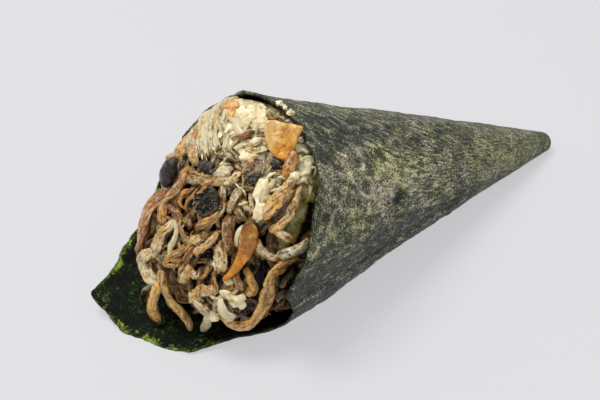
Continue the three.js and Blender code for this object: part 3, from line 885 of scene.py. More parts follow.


# ---------------------------------------------------------------- mushroom heap

# Strips that stand out: tint, width, thickness, cream smear and route (x, y, lift). A separate program
# worked out most points of STRIPS and LEGS, some places of HOLLOWS and the corners of the lower golden
# slice, from places picked by eye. They are rounded, and some were moved since.
STRIPS = [
    # far side, down to the foot
    ("rust", 2.6, 1.8, 0, [
        (-20.5, 4, 0.3), (-19.5, 0, 0.5), (-16.5, -1.5, 0.9), (-13.5, -3, 0.9), (-12, -5.5, 0.9),
        (-12, -9, 0.7), (-14, -12.5, 0.8), (-13, -15, 0.3)]),
    ("tan", 1.9, 1.4, 0.1, [
        (-6.5, 14.5, 0.5), (-7, 11.5, 1), (-9, 7.5, 1.1), (-12.5, 3, 1.1), (-11.5, 1, 1), (-10, -1, 0.7),
        (-9, -2.5, 0.2)]),
    ("brown", 1.4, 1.1, 0, [
        (-14.5, 1.5, 0.2), (-10.5, 3, 0.6), (-7, 2.5, 0.5), (-4.5, 2, 0.3), (-1, 0.5, 0.4),
        (1.5, -1.5, 0.1)]),
    ("beige", 2.7, 1.7, 0.3, [
        (-6, 1, 0.2), (-5, -0.5, 0.8), (-5, -2, 1.2), (-5, -4.5, 1.2), (-5, -6, 1.2), (-6.5, -8.5, 1)]),
    ("pale", 1.3, 1.0, 0.4, [
        (-6, 2, 0.3), (-2.5, 0.5, 0.9), (-0.5, -1.5, 0.9), (-0.5, -3.5, 0.9), (-0.5, -5.5, 0.7),
        (-1.5, -7.5, 0.1)]),
    ("pale", 3.2, 2.2, 0.3, [
        (-6.5, -7.5, 0.8), (-8, -9.5, 1.2), (-8.5, -11.5, 1.3), (-7, -12.5, 1.3), (-4.5, -13, 1.2),
        (-2.5, -13, 0.7)]),
    # curls round the gilled cap
    ("orange", 2.0, 1.4, 0, [(-8, 15.5, 0.4), (-6, 14, 1.2), (-5.5, 12.5, 1.1), (-7, 10.5, 0.5)]),
    ("brown", 1.3, 1.0, 0, [(-5.5, 14.5, 0.3), (-1.5, 16, 0.4), (1.5, 17, 0)]),
    ("orange", 1.7, 1.2, 0, [(4.5, 17.5, 0.4), (3.5, 16, 1.2), (2, 14, 1.2), (0, 12.5, 0.7)]),
    ("orange", 0.95, 0.8, 0, [
        (1, 13.5, 0.8), (0, 11.5, 1.2), (-1, 9.5, 1.3), (-2, 7.5, 0.9), (-3, 5.5, 0.4)]),
    ("orange", 0.95, 0.8, 0, [
        (-3, 11.5, 0.4), (-4, 10, 0.9), (-4.5, 8.5, 1.1), (-4.5, 7, 1.1), (-3.5, 6, 0.9),
        (-3, 5.5, 0.3)]),
    ("brown", 1.2, 0.9, 0, [(-4, 9.5, 0.2), (-2.5, 11, 0.4), (-2, 13, 0.1)]),
    ("tan", 1.5, 1.1, 0, [
        (9.5, 11, 0.1), (9.5, 10, 1), (8.5, 8.5, 1.2), (7, 6.5, 1.3), (5, 4.5, 0.9), (2.5, 2.5, 0.2)]),
    ("grey", 0.6, 0.5, 0.2, [
        (10, 13.5, 0.4), (10.5, 12, 0.8), (10, 9.5, 0.8), (8.5, 7, 0.6), (6.5, 4.5, 0.2)]),
    ("pale", 0.5, 0.5, 0.2, [(10, 14, 0.3), (10.5, 12.5, 0.5), (10.5, 10, 0.7)]),
    ("olive", 1.9, 1.2, 0.2, [(6.5, 18, 0.2), (8, 17, 0.5), (9, 15.5, 0.6), (9, 14, 0.1)]),
    ("grey", 1.4, 1.0, 0.35, [
        (12, 18.5, 0.2), (12, 17, 0.8), (12, 15, 0.8), (12, 13, 0.7), (12, 11.5, 0.2)]),
    # middle and front
    ("brown", 2.6, 1.5, 0.1, [(12.5, 11.5, 0), (13, 9.5, 0.5), (14, 7, 0.6), (15, 4, 0.6), (16, 1, 0)]),
    ("beige", 0.8, 0.8, 0.2, [
        (12, 10, 0.3), (12.5, 8, 0.8), (13, 5.5, 0.8), (14.5, 3, 0.6), (15, 0.5, 0.1)]),
    ("beige", 1.4, 1.1, 0.15, [
        (10.5, 5.5, 0.3), (10.5, 3.5, 0.9), (9.5, 1.5, 1.1), (8, -0.5, 0.9), (7, -1.5, 0.9),
        (6.5, -3.5, 0.2)]),
    ("beige", 2.6, 1.5, 0.3, [
        (10.5, 0.5, 0), (12.5, 0, 0.6), (13.5, -1.5, 0.7), (14, -3, 0.9), (14, -5, 0.3)]),
    ("tan", 1.2, 0.9, 0.1, [
        (2.5, -2.5, 0.1), (2, -3.5, 0.9), (0.5, -5.5, 0.9), (-1, -7.5, 0.8), (-2, -9.5, 0.3)]),
    ("tan", 0.7, 0.6, 0, [(10.5, -4.5, 0.1), (11, -5.5, 0.6), (10.5, -6.5, 0.6), (9.5, -8, 0.1)]),
    ("tan", 1.9, 1.3, 0.05, [(17.5, -3.5, 0.1), (18, -4.5, 0.4), (19, -6, 0.5), (19.5, -8.5, -0.1)]),
    ("gold", 1.7, 1.2, 0.05, [
        (20, -3.5, 0.1), (21, -3.5, 1), (22, -5.5, 0.9), (22.5, -7, 0.9), (21.5, -8.5, 0.6),
        (21, -9.5, 0.3)]),
    ("gold", 3.0, 1.5, 0.05, [
        (32.5, 2.5, -1.1), (30, 2.5, 0.3), (28, 1, 1), (26.5, -2.5, 1.2), (26, -9, 1.4), (24, -13, 1.3),
        (21.5, -16, 1.4), (18.5, -18, 1.4), (16.5, -17.5, 1.2), (15.5, -14, 1.2), (14.5, -12, 0.4)]),
    ("pale", 2.4, 1.2, 0.6, [(15, -10, 1.1), (16, -11.5, 1.9), (17, -13, 1.9), (18, -15, 1.4)]),
    ("pale", 2.2, 1.3, 0.5, [
        (6, -12.5, 0.2), (8.5, -12.5, 0.7), (10, -13.5, 0.9), (11, -15, 0.8), (10.5, -18, 0.4)]),
    ("pale", 0.8, 0.7, 0.2, [(13, -9.5, 0.1), (14, -11, 0.8), (13.5, -14.5, 0.3)]),
    # near side, under the rim
    ("gold", 2.4, 1.6, 0.15, [
        (21.5, 26, 0.8), (21.6, 23, 1.5), (21.5, 21, 1.3), (21, 18.5, 1.4), (20.8, 16, 1.1),
        (20.5, 13.5, 0.5)]),
    # A dark strip laid in the shaded gap between the gold and beige strips: painted shade.
    ("shadow_umber", 2.0, 1.2, 0, [(23.2, 23, 1.0), (23.1, 20, 1.1), (22.9, 17.5, 1.1), (22.3, 14.5, 0.8)]),
    ("pale", 0.8, 0.7, 0.5, [(20.9, 23.5, 1.8), (20.5, 20.5, 1.8), (20.3, 18, 1.7), (20, 15, 1.3)]),
    ("beige", 1.75, 1.2, 0.15, [
        (24.5, 24.5, 0.4), (24, 22.5, 0.9), (25, 20, 0.8), (25, 17.5, 0.9), (25.5, 16, 1), (25, 13.5, 1),
        (24, 12, 0.8), (23, 10.5, 0.2)]),
    ("gold", 2.3, 1.2, 0.2, [(24, 11, 0.3), (25.5, 11, 0.7), (27, 10.5, 0.7), (29, 9.5, 0.4)]),
    ("ash", 2.4, 1.3, 0.35, [
        (32.5, 10.5, 0.3), (31.5, 8.5, 0.8), (30, 7, 1), (28.5, 5.5, 1), (27, 4, 0.4)]),
    ("pale", 1.6, 1.1, 0.3, [
        (28, 4, 0.4), (26, 3.5, 0.8), (24, 4, 0.7), (22.5, 5.5, 0.9), (21.5, 7.5, 0.3)]),
    ("tan", 2.3, 1.5, 0.05, [(16.5, 31.5, -0.1), (18, 29, 0.5), (19, 26.5, 0.6), (20, 24.5, 0.2)]),
    ("tan", 1.6, 1.1, 0.4, [(18, 23.5, 0), (18, 21.5, 0.5), (18, 19.5, 0.1)]),
    ("orange", 1.4, 1.0, 0.4, [(19, 19.5, 0), (18.5, 18, 0.5), (18.5, 16.5, 0)]),
    ("tan", 1.2, 1.0, 0.3, [(15, 18.5, 0), (16.5, 16, 0.4), (17.5, 13.5, 0)]),
    ("cream", 1.3, 0.9, 1, [(17.5, 10, 0.2), (16.6, 8, 0.7), (16.6, 5.5, 0.7), (16.6, 3, 0.2)]),
    # creamy strips on the top
    ("tan", 1.4, 1.1, 0.15, [
        (-17, 26, 0.3), (-13.5, 24.5, 0.7), (-10.5, 22, 1), (-8.5, 20, 1), (-6.5, 18.5, 1),
        (-5.5, 17.5, 0.4)]),
    ("tan", 1.9, 1.2, 0.25, [(-11, 21.5, 0.1), (-7.5, 19.5, 1), (-6, 18.5, 1.1), (-5, 17.5, 0.4)]),
    ("pale", 1.1, 0.9, 0.4, [(-20, 28, 0), (-14.5, 26, 0.5), (-9.5, 23.5, 0.7), (-8, 21, 0.1)]),
    ("grey", 1.1, 0.9, 0.4, [(-14.5, 29.5, 0), (-7.5, 27, 0.6), (-4.5, 24.5, 0.7), (-2.5, 22, 0)]),
    ("pale", 1.2, 0.9, 0.4, [(-19, 23, -0.6), (-16, 21.5, -0.3), (-13, 19.5, -0.1), (-13, 17.5, -0.3)]),
    ("beige", 1.2, 0.9, 0.4, [(-17.5, 20.5, -0.6), (-14, 18.5, -0.2), (-14.5, 16, -0.3)]),
    ("grey", 1.1, 0.9, 0.3, [(-17, 19.5, -0.6), (-15, 17, -0.3), (-16, 14.5, -0.4)]),
    ("brown", 1.5, 1.1, 0, [(0.5, 27.5, 0.1), (3.5, 28, 0.7), (4.5, 29.5, 0.8), (4.5, 31.5, 0.3)]),
    ("olive", 1.5, 1.0, 0.1, [(5.5, 28.5, 0.2), (7, 29.5, 0.7), (8, 31, 0.7), (8.5, 33.5, 0.1)]),
    ("pale", 1.7, 1.1, 0.5, [(6.5, 27.5, 0.2), (8, 28.5, 0.8), (8.5, 30, 0.6)]),
    ("olive", 1.1, 0.8, 0.1, [(9.5, 27.5, 0.2), (10.5, 28.5, 0.6), (11, 30.5, 0.2)]),
    ("pale", 1.4, 1.0, 0.5, [(9.5, 27, 0.1), (11, 27.5, 0.5), (11.5, 29, 0.1)]),
    # gill edges in the cream
    ("dark", 0.35, 0.35, 0, [(0, 22.5, 0.5), (2.5, 22.5, 0.9), (4, 22.5, 0.5)]),
    ("dark", 0.35, 0.35, 0, [(1.5, 24.5, 0.4), (3.5, 24.5, 0.7), (5, 24.5, 0.5)]),
    ("dark", 0.35, 0.35, 0, [(1.5, 25, 0.4), (4, 24.5, 0.9), (6, 24, 0.4)]),
    ("dark", 0.35, 0.35, 0, [(2.5, 25.5, 0.4), (5.5, 25, 0.7), (7.5, 24.5, 0.4)]),
    ("dark", 0.35, 0.35, 0, [(4.5, 23, 0.4), (7, 23.5, 0.8), (8.5, 24, 0.3)]),
]

# Strips that hang down onto the flap, and the creamy foot beside them
LEGS = [
    ("beige", 2.4, 1.8, 0.15, [
        (-2, -9.5, 0.8), (-1.5, -12, 0.6), (-0.5, -14.5, 0.6), (0.5, -17.5, 0.6), (2, -20, 0.8),
        (3, -22.5, 1.7), (3.5, -24, 3.2)]),
    ("gold", 3.0, 2.2, 0.15, [
        (-2.5, -13, 0.8), (-3, -15.5, 2.2), (-3.5, -18, 3.5), (-3.5, -20.5, 4.5), (-3, -22, 5.3)]),
    ("dark", 1.6, 1.3, 0.2, [(-8, -18, 0.6), (-9.5, -19, 2.7), (-10, -20.5, 4.6), (-10, -22, 5.9)]),
    ("pale", 1.8, 1.3, 0.7, [(11.5, -16, 0.6), (8.5, -21.5, 0.5), (5, -25.5, 2)]),
]

# Deep gaps in the heap: place, spread and depth
HOLLOWS = [
    (31, 15, 9, 5), (33, -4, 8, 5), (21, -12, 3.8, 4.5), (22, -4, 3.2, 4), (24, 7.5, 2.4, 4),
    (22.5, 18, 2, 3), (5, -17.5, 5, 5), (-2, -20, 5, 5), (5, -24, 4, 4), (-13, -8, 3.5, 3),
    (-10, -19, 4, 4), (-20, 0, 2.4, 2.5), (-9, -5, 2, 3), (-8.5, -1.5, 1.6, 2), (-3, 7, 1.8, 2),
    (-1, 14, 2, 2), (6.5, 18, 1.6, 2), (14.5, 10, 1.8, 2.5), (17, 3, 2, 3), (8.5, -5, 2.2, 3),
    (16, -1, 1.6, 2.5), (1, -11, 2, 3), (13.5, 22, 2, 2.6), (15.5, 27.5, 2.2, 3), (-22, 22, 7, 2.2),
    (-27, 15, 6, 2),
]

# Strips and shreds by rule: how many, how far out from the middle of the map, and their half length,
# bend and width
FAR_STRIPS = {"count": 46, "seed": 5, "distance": (14, 46), "side": (92, 288), "half": (7.5, 12.5),
              "bend": 3, "width": (1.9, 3.0)}
UNDER_STRIPS = {"count": 270, "seed": 8, "distance": 40, "half": (2.5, 6), "bend": 2.5, "width": (0.8, 2.2)}
# How much darker the under strips are painted, as painted shade.
UNDER_PAINTED_SHADE = 0.48
SHREDS = {"tries": 1200, "seed": 21, "distance": 47, "half": (1.2, 3.6), "bend": 1.8, "width": (0.45, 1.3)}
FIBRES = {"count": 60, "half": (3, 7.5), "bend": 0.8, "width": (0.45, 1.1)}
FIBRE_MIDDLE, FIBRE_WAY = Vector((-9.5, 27)), Vector((0.84, -0.54))
GOLDEN_RATIO, GOLDEN_TURN = 0.618, 2.4
GILLS = 22


def hollow_depth(x, y):
    return sum(d * math.exp(-((x - u) ** 2 + (y - v) ** 2) / (s * s)) for u, v, s, d in HOLLOWS)


def cream_share(x, y):
    """How much cream clings to the heap at a place on it: most on top, streaks down the near side."""
    top = clamped((y - 17) / 12)
    near = math.exp(-((x - 17) / 4) ** 2 - ((y - 17) / 7) ** 2)
    low = 0.6 * math.exp(-((x - 14) / 4) ** 2 - ((y + 13) / 5) ** 2)
    return min(1.0, top + 0.6 * near + low)


def bent_route(x, y, heading, half, bend, lift, arch, sink, stations=(-1, -0.4, 0.3, 1)):
    """A gently bent run over the heap, arched in its middle, that sinks into the gaps by a share."""
    route = []
    for t in stations:
        aside = bend * (1 - t * t)
        u = x + half * t * math.cos(heading) - aside * math.sin(heading)
        v = y + half * t * math.sin(heading) + aside * math.cos(heading)
        route.append((u, v, lift + arch * (1 - t * t) - sink * hollow_depth(u, v)))
    return route


def mushroom_strips():
    bm = new_piece_mesh()
    for i, (tint, width, thick, smear, route) in enumerate(STRIPS):
        add_strand(bm, route, (width, thick), TINTS[tint], smear + 0.06, seed=i)
    for i, (tint, width, thick, smear, route) in enumerate(LEGS):
        add_strand(bm, route, (width, thick), TINTS[tint], smear, wander=0.2, dive=0.0, seed=80 + i)
    return bm


def mushroom_far_strips():
    """Strips by rule over the far side, each running round the heap."""
    bm = new_piece_mesh()
    rule = FAR_STRIPS
    draw = random.Random(rule["seed"])
    near, far = rule["distance"]
    low, high = rule["side"]
    for i in range(rule["count"]):
        distance = near + (far - near) * math.sqrt((i + 0.5) / rule["count"])
        side = math.radians(low + (high - low) * (i * GOLDEN_RATIO % 1))
        heading = side + math.pi / 2 + draw.uniform(-1, 1)
        half = draw.uniform(*rule["half"])
        bend = draw.uniform(-rule["bend"], rule["bend"])
        x, y = distance * math.cos(side), distance * math.sin(side)
        route = bent_route(x, y, heading, half, bend, -0.5, 0.9, 1.0)
        tint = draw.choice(["brown", "tan", "beige", "tan", "orange", "grey"])
        width = draw.uniform(*rule["width"])
        smear = 0.15 + 0.5 * cream_share(route[1][0], route[1][1])
        add_strand(bm, route, (width, width * 0.74), TINTS[tint], smear, sides=14, step=0.7, seed=100 + i)
    return bm


def mushroom_under_strips():
    """Strips by rule under the ones that stand out, most of them hanging down the heap."""
    bm = new_piece_mesh()
    rule = UNDER_STRIPS
    draw = random.Random(rule["seed"])
    for i in range(rule["count"]):
        distance = rule["distance"] * math.sqrt((i + 0.5) / rule["count"])
        side = i * GOLDEN_TURN
        x, y = distance * math.cos(side), distance * math.sin(side)
        if hollow_depth(x, y) > 3.4:
            continue
        heading = -1.57 + draw.gauss(0, 0.7)
        half = draw.uniform(*rule["half"])
        bend = draw.uniform(-rule["bend"], rule["bend"])
        width = draw.uniform(*rule["width"])
        tint = draw.choice(["brown", "brown", "tan", "dark", "beige", "olive", "tan", "grey"])
        # The under strips are painted darker, as painted shade where they lie deep.
        shaded = [UNDER_PAINTED_SHADE * share for share in TINTS[tint]]
        add_strand(bm, bent_route(x, y, heading, half, bend, -0.9, 0, 0.8), (width, width * 0.75), shaded,
                   0.5 * cream_share(x, y), sides=12, step=0.5, wander=0.7, seed=500 + i)
    return bm


def shred_share(x, y):
    """How densely shreds lie at a place: least among the loose strips low on the near side."""
    if x > 24 and y < 26:
        return 0.0
    knots = math.exp(-((x - 4) / 8) ** 2 - ((y + 2) / 8) ** 2)
    far = 0.8 if x < -15 else 0.25
    return min(1.0, cream_share(x, y) + 0.9 * knots + far)


def add_fibres(bm, draw):
    """Creamy fibres that run down the top of the heap."""
    rule = FIBRES
    over = FIBRE_WAY.orthogonal()
    for i in range(rule["count"]):
        aside, shift = draw.uniform(-5.5, 4.5), draw.uniform(-3, 3)
        middle = FIBRE_MIDDLE + FIBRE_WAY * shift + over * aside
        half = draw.uniform(*rule["half"])
        bend = draw.uniform(-rule["bend"], rule["bend"])
        route = []
        for t in (-1, -0.4, 0.3, 1):
            spot = middle + FIBRE_WAY * (half * t) + over * (bend * (1 - t * t))
            route.append((spot.x, spot.y, 0.6 - 0.4 * t * t - 0.3 * hollow_depth(spot.x, spot.y)))
        width = draw.uniform(*rule["width"])
        tint = draw.choice(["pink", "grey", "pale", "cream", "pink", "pale", "beige"])
        add_strand(bm, route, (width, width * 0.8), TINTS[tint], draw.uniform(0.3, 0.8), sides=10, step=0.5,
                   wander=0.5, seed=1300 + i)


def mushroom_shreds():
    """Small shreds between the strips, and the fibres on top."""
    bm = new_piece_mesh()
    rule = SHREDS
    draw = random.Random(rule["seed"])
    tints = ["tan", "beige", "pale", "grey", "brown", "orange", "olive"]
    for i in range(rule["tries"]):
        distance = rule["distance"] * math.sqrt(draw.random())
        side = draw.uniform(0, math.tau)
        x, y = distance * math.cos(side), distance * math.sin(side)
        if draw.random() > shred_share(x, y):
            continue
        heading = draw.uniform(0, math.tau)
        half = draw.uniform(*rule["half"])
        bend = draw.uniform(-rule["bend"], rule["bend"])
        route = bent_route(x, y, heading, half, bend, -0.9, 1.1, 0.8, (-1, 0, 1))
        width = draw.uniform(*rule["width"])
        cream = cream_share(x, y)
        tint = "cream" if draw.random() < 0.3 * cream else draw.choice(tints)
        add_strand(bm, route, (width, width * 0.65), TINTS[tint], 0.1 + 0.5 * cream, sides=8, step=0.6,
                   wander=0.6, dive=0.6, seed=300 + i)
    add_fibres(bm, draw)
    return bm


def mushroom_core():
    """The heap under the strips, with the relief of the strips that lie deeper, black to brown as painted
    shade.
    """
    bm = new_piece_mesh()
    tint_layer, smear_layer = marks(bm)
    low, high = Vector(TINTS["black"]), Vector(TINTS["brown"])
    for vert in bmesh.ops.create_icosphere(bm, subdivisions=7, radius=1)["verts"]:
        direction = vert.co.normalized()
        x, y = map_place(direction)
        dip = hollow_depth(x, y)
        spot = heap_spot(direction, 0)
        warp = Vector((noise.noise(spot * 0.2), noise.noise(spot * 0.2 + Vector((7, 0, 0))), 0)) * 3
        wide, fine = noise.noise((spot + warp) * 0.3), noise.noise((spot + warp) * 0.75)
        folds = 1 - 2.4 * abs(wide) - 1.2 * abs(fine)
        cream = cream_share(x, y)
        vert.co = kept_in(heap_spot(direction, -4.4 + 1.6 * cream - dip + 1.3 * folds))
        # Painted shade: black in the low folds and the hollows, brown on folds that stand up and where
        # cream lies.
        vert[tint_layer] = low.lerp(high, clamped(folds * 0.8 - 0.25 - 0.3 * dip + 0.6 * cream))
        vert[smear_layer] = 0.8 * cream
    return bm


def mushroom_lumps():
    """Lumps of mushroom flesh among the strips: tint, place, half sizes, smear and turn."""
    bm = new_piece_mesh()
    for i, (tint, at, half, smear, turn) in enumerate([
        ("green", (-8, 36.6, 0.9), (2.0, 1.3, 1.1), 0.1, 0),
        ("pale", (-11.5, 33.8, 0.5), (1.5, 1.2, 1.0), 0.3, 0),
        ("green", (5.5, 35.6, 0), (2.6, 1.5, 1.2), 0, 0.2),
        ("olive", (9, 35.6, -0.2), (2.6, 1.5, 1.2), 0, 0),
        ("brown", (11, 24.8, 0.2), (2.0, 1.2, 0.9), 0.3, 0.9),
        ("pale", (8.6, 27, -0.1), (1.6, 1.0, 0.8), 0.4, 0.3),
        ("beige", (-11, -15, 0.2), (1.8, 1.2, 1.0), 0.3, 0.1),
        ("beige", (5.5, -8, 0), (2.4, 1.1, 0.9), 0.3, 1.2),
        ("tan", (12, -9.5, 0), (2.4, 1.1, 0.9), 0.3, 0.6),
        ("pale", (5, 0.5, 0.3), (1.3, 1.0, 0.9), 0.4, 0.4),
        ("beige", (7, 2.5, 0), (1.0, 1.0, 0.7), 0.2, 0.7),
        ("grey", (2, -1, 0), (1.2, 0.8, 0.8), 0.3, 0.2),
        ("grey", (-2.5, -7.5, 0.2), (1.6, 1.0, 0.8), 0.2, 0.5),
        ("tan", (7.5, -7, 0), (1.2, 0.8, 0.7), 0.3, 0),
        ("beige", (9, -11.5, 0.2), (2.8, 1.2, 0.9), 0.3, 1.1),
        ("grey", (-1, 16, -0.2), (1.8, 1.0, 0.7), 0.5, 0.3),
        ("grey", (5, 20.2, -0.1), (2.2, 1.2, 0.8), 0.5, 0.8),
        ("pale", (9, 19.6, 0), (2.0, 1.0, 0.8), 0.5, 1.1),
        ("tan", (10.5, -14.5, 0.2), (1.8, 1.1, 0.9), 0.4, 0.4),
    ]):
        add_lump(bm, at, half, TINTS[tint], smear, detail=5, lumpy=0.5, scale=0.7, seed=42 + i, turn=turn)
    return bm


# ---------------------------------------------------------------- toppings

# Dabs of cream cheese on top and among the strips: place and half sizes
DABS = [
    ((-4, 33.4, -0.7), (5.5, 2.9, 1.5)), ((-11, 34.6, -0.8), (4.4, 2.8, 1.5)),
    ((-9, 37, -0.6), (6.0, 2.4, 1.7)), ((0, 34.6, -0.6), (5.0, 2.4, 1.6)),
    ((-1.5, 29.5, -0.9), (3.4, 2.2, 1.2)), ((5, 33.6, -0.9), (3.4, 1.5, 1.4)),
    ((-8, 28.5, -1.5), (6.0, 3.6, 1.2)), ((3.5, 26.5, -1.2), (3.4, 2.2, 1.1)),
    ((16, -8.8, 0.3), (1.1, 0.8, 0.9)), ((17.3, -9.6, 0.5), (1.2, 0.8, 1.0)),
    ((18.8, -10.2, 0.3), (1.1, 0.9, 1.0)), ((19.8, -11.6, 0.1), (1.0, 1.1, 1.0)),
    ((17.8, -11.3, 0.1), (1.0, 0.8, 0.8)), ((20, -9.8, 0), (0.8, 0.8, 0.8)),
    ((16.5, -6, 0.1), (1.1, 1.0, 0.8)), ((12, -16.5, 0.1), (1.5, 1.4, 1.0)),
    ((21.5, 25, 1.5), (1.1, 1.3, 0.9)), ((19.2, 15.4, 0), (1.4, 2.8, 0.9)),
    ((17, 19.6, -0.4), (1.6, 2.6, 0.9)), ((-9.6, -15.6, 0.1), (1.4, 1.0, 0.9)),
    ((9, 25.6, -0.5), (2.6, 1.6, 1.1)), ((-5.6, 38.6, 0.4), (2.0, 0.8, 0.8)),
    ((-2.4, 39.0, 0.6), (1.7, 0.8, 0.8)), ((0.2, 39.1, 0.6), (1.1, 0.6, 0.6)),
    ((13, -2.5, -0.2), (1.0, 1.6, 0.7)),
]
STREAKS = {"tries": 300, "seed": 4, "x": (-24, 27), "y": (-24, 41), "bend": 0.8}
CREAM_VOXEL = 0.22


def cream_spread():
    """Cream cheese over the top of the heap, with threads and dabs pressed among the strips."""
    bm = new_piece_mesh()
    for i, (at, half) in enumerate(DABS):
        lumpy = 0.35 if at[0] > 14 else 0.5
        add_lump(bm, at, half, TINTS["cream"], lumpy=lumpy, scale=0.55, seed=i)
    rule = STREAKS
    draw = random.Random(rule["seed"])
    for i in range(rule["tries"]):
        x, y = draw.uniform(*rule["x"]), draw.uniform(*rule["y"])
        if draw.random() > cream_share(x, y) ** 1.5:
            continue
        fibrous = x < 2 and y > 15
        heading = draw.gauss(-0.57, 0.15) if fibrous else draw.gauss(0.7, 0.5)
        half = draw.uniform(2.4, 5.5) if fibrous else draw.uniform(1.2, 3.6)
        bend = draw.uniform(-rule["bend"], rule["bend"])
        route = bent_route(x, y, heading, half, bend, -0.2, 0.5, 0.3, (-1, -0.3, 0.4, 1))
        width = draw.uniform(0.4, 0.8) if fibrous else draw.uniform(0.5, 1.3)
        add_strand(bm, route, (width, width * 0.7), TINTS["cream"], sides=8, step=0.6, wander=0.9,
                   lumpy=0.3, seed=700 + i)
    skin = fused(bm, CREAM_VOXEL)
    for vert in skin.verts:
        fold = 0.3 - abs(noise.noise(vert.co * 0.5)) - 0.3 * abs(noise.noise(vert.co * 1.3))
        vert.co += vert.normal * (0.45 * fold)
    return skin


def orange_bit():
    """A small piece of the golden stuff that lies in the cream on top."""
    bm = new_piece_mesh()
    for i, (at, half, turn) in enumerate([
        ((-8.2, 32, 1.3), (2.2, 1.5, 0.8), 0.6), ((-5.4, 31.2, 1.1), (1.9, 0.9, 0.7), -0.7),
    ]):
        add_lump(bm, at, half, TINTS["salmon"], 0.35, detail=5, lumpy=0.1, scale=0.6, seed=40 + i,
                 turn=turn)
    return bm


def dark_cap():
    """A small round cap at the far side: a smooth dome with shallow dimples."""
    bm = new_piece_mesh()
    add_lump(bm, (-15.5, 10.5, 0.4), (2.4, 3.7, 2.4), TINTS["black"], detail=5, lumpy=0.13, scale=0.3,
             seed=2)
    return bm


def dark_scraps_and_shade_patches():
    """Dark cap scraps, and black patches as painted shade in holes among strips: place, half sizes, how
    craggy they are.
    """
    bm = new_piece_mesh()
    for i, (at, half, lumpy) in enumerate([
        ((-1, 18.8, -0.2), (2.2, 1.2, 0.7), 0.45), ((-11.5, 13, -0.8), (1.1, 1.9, 0.9), 0.6),
        ((13.6, 22, -0.4), (1.8, 0.65, 0.4), 0.7), ((15.7, 27.4, -1.1), (1.3, 1.0, 0.6), 0.7),
        ((-22, 8, 0), (1.5, 2.6, 1.2), 0.6), ((-30, -4, 0), (2.0, 1.5, 1.2), 0.6),
    ]):
        add_lump(bm, at, half, TINTS["black"], 0.25, detail=5, lumpy=lumpy, scale=0.8, seed=20 + i,
                 turn=i * 0.5)
    return bm


def gilled_cap():
    """A cap seen from below: gills run out from the stump of its stem to a rolled rim."""
    bm = new_piece_mesh()
    x, y, lift, radius = 4.6, 12, -0.6, 3.7
    across, upward, outward = heap_frame(x, y)
    centre = heap_point(x, y, lift)
    tint_layer, smear_layer = marks(bm)
    for vert in bmesh.ops.create_uvsphere(bm, u_segments=192, v_segments=48, radius=1)["verts"]:
        angle = math.atan2(vert.co.y, vert.co.x)
        spread = math.hypot(vert.co.x, vert.co.y)
        face = vert.co.z
        swing = 1.6 * wobble(spread * 2.2, angle * 0.7)
        gill = math.cos(GILLS * angle + 4 * swing) * min(1, spread * 2.5)
        broken = wobble(vert.co.x * 3, vert.co.y * 3, 5) + 0.5 * wobble(vert.co.x * 7, vert.co.y * 7, 9)
        roll = 0.6 * bell(spread, 0.9, 0.08)
        height = face * 1.3
        if face > 0:
            height = 0.2 * math.sqrt(face) + 0.15 * gill + roll + 1.0 * broken * (1 - roll)
        flat = radius * (1 + 0.14 * wobble(math.cos(angle) * 1.4, math.sin(angle) * 1.4, 8))
        off = across * (vert.co.x * flat) + upward * (vert.co.y * flat) + outward * height
        vert.co = kept_in(centre + off)
        low_left = max(0.0, math.cos(angle + 2.4))
        vert[smear_layer] = 0.65 * max(0.0, gill) * (0.45 + broken) + 1.6 * low_left * max(0.0, roll - 0.25)
        vert[tint_layer] = TINTS["black"]
    return bm


def golden_slice(at, facing, thick, corners, cup, pale, tints, seed):
    """A flat irregular slice: its outline is extruded, rounded off, divided and gently cupped."""
    bm = new_piece_mesh()
    tint_layer, smear_layer = marks(bm)
    outline = bm.faces.new([bm.verts.new((x, y, -thick / 2)) for x, y in rounded(corners)])
    top = bmesh.ops.extrude_face_region(bm, geom=[outline])["geom"]
    bmesh.ops.translate(bm, verts=[g for g in top if isinstance(g, bmesh.types.BMVert)], vec=(0, 0, thick))
    bmesh.ops.recalc_face_normals(bm, faces=bm.faces)
    ends = [edge for edge in bm.edges if abs(edge.verts[0].co.z - edge.verts[1].co.z) < 1e-6]
    bmesh.ops.bevel(bm, geom=ends, offset=0.5, offset_type="OFFSET", affect="EDGES", segments=3,
                    profile=0.5, material=-1)
    bmesh.ops.triangulate(bm, faces=bm.faces)
    for _ in range(4):
        long_edges = [edge for edge in bm.edges if edge.calc_length() > 0.4]
        bmesh.ops.subdivide_edges(bm, edges=long_edges, cuts=1, use_grid_fill=True)
        bmesh.ops.triangulate(bm, faces=[face for face in bm.faces if len(face.verts) > 3])
    normal = Vector(facing).normalized()
    right = Vector((0, 0, 1)).cross(normal).normalized()
    upward = normal.cross(right)
    centre = heap_point(*at)
    reach = max(math.hypot(x, y) for x, y in corners)
    lowest, highest = min(y for x, y in corners), max(y for x, y in corners)
    low, high = (Vector(rgb(*tint)) for tint in tints)
    for vert in bm.verts:
        local = vert.co.copy()
        spot = local * 0.4 + Vector((seed, 0, 0))
        spread = math.hypot(local.x, local.y) / reach
        vert[smear_layer] = pale * (0.5 + 0.5 * (local.y - local.x) / reach)
        rise = (local.y - lowest) / (highest - lowest) + 0.3 * noise.noise(spot)
        vert[tint_layer] = low.lerp(high, clamped(rise))
        local.z *= 1 + 0.5 * noise.noise(spot * 0.8)
        local.z += cup * spread * spread + 0.3 * noise.noise(spot) + 0.15 * noise.noise(spot * 3)
        local.x += 0.2 * noise.noise(spot * 1.7 + Vector((0, 9, 0)))
        local.y += 0.2 * noise.noise(spot * 1.7 + Vector((0, 0, 9)))
        vert.co = kept_in(centre + right * local.x + upward * local.y + normal * local.z, 0)
    return bm


# ---------------------------------------------------------------- the roll

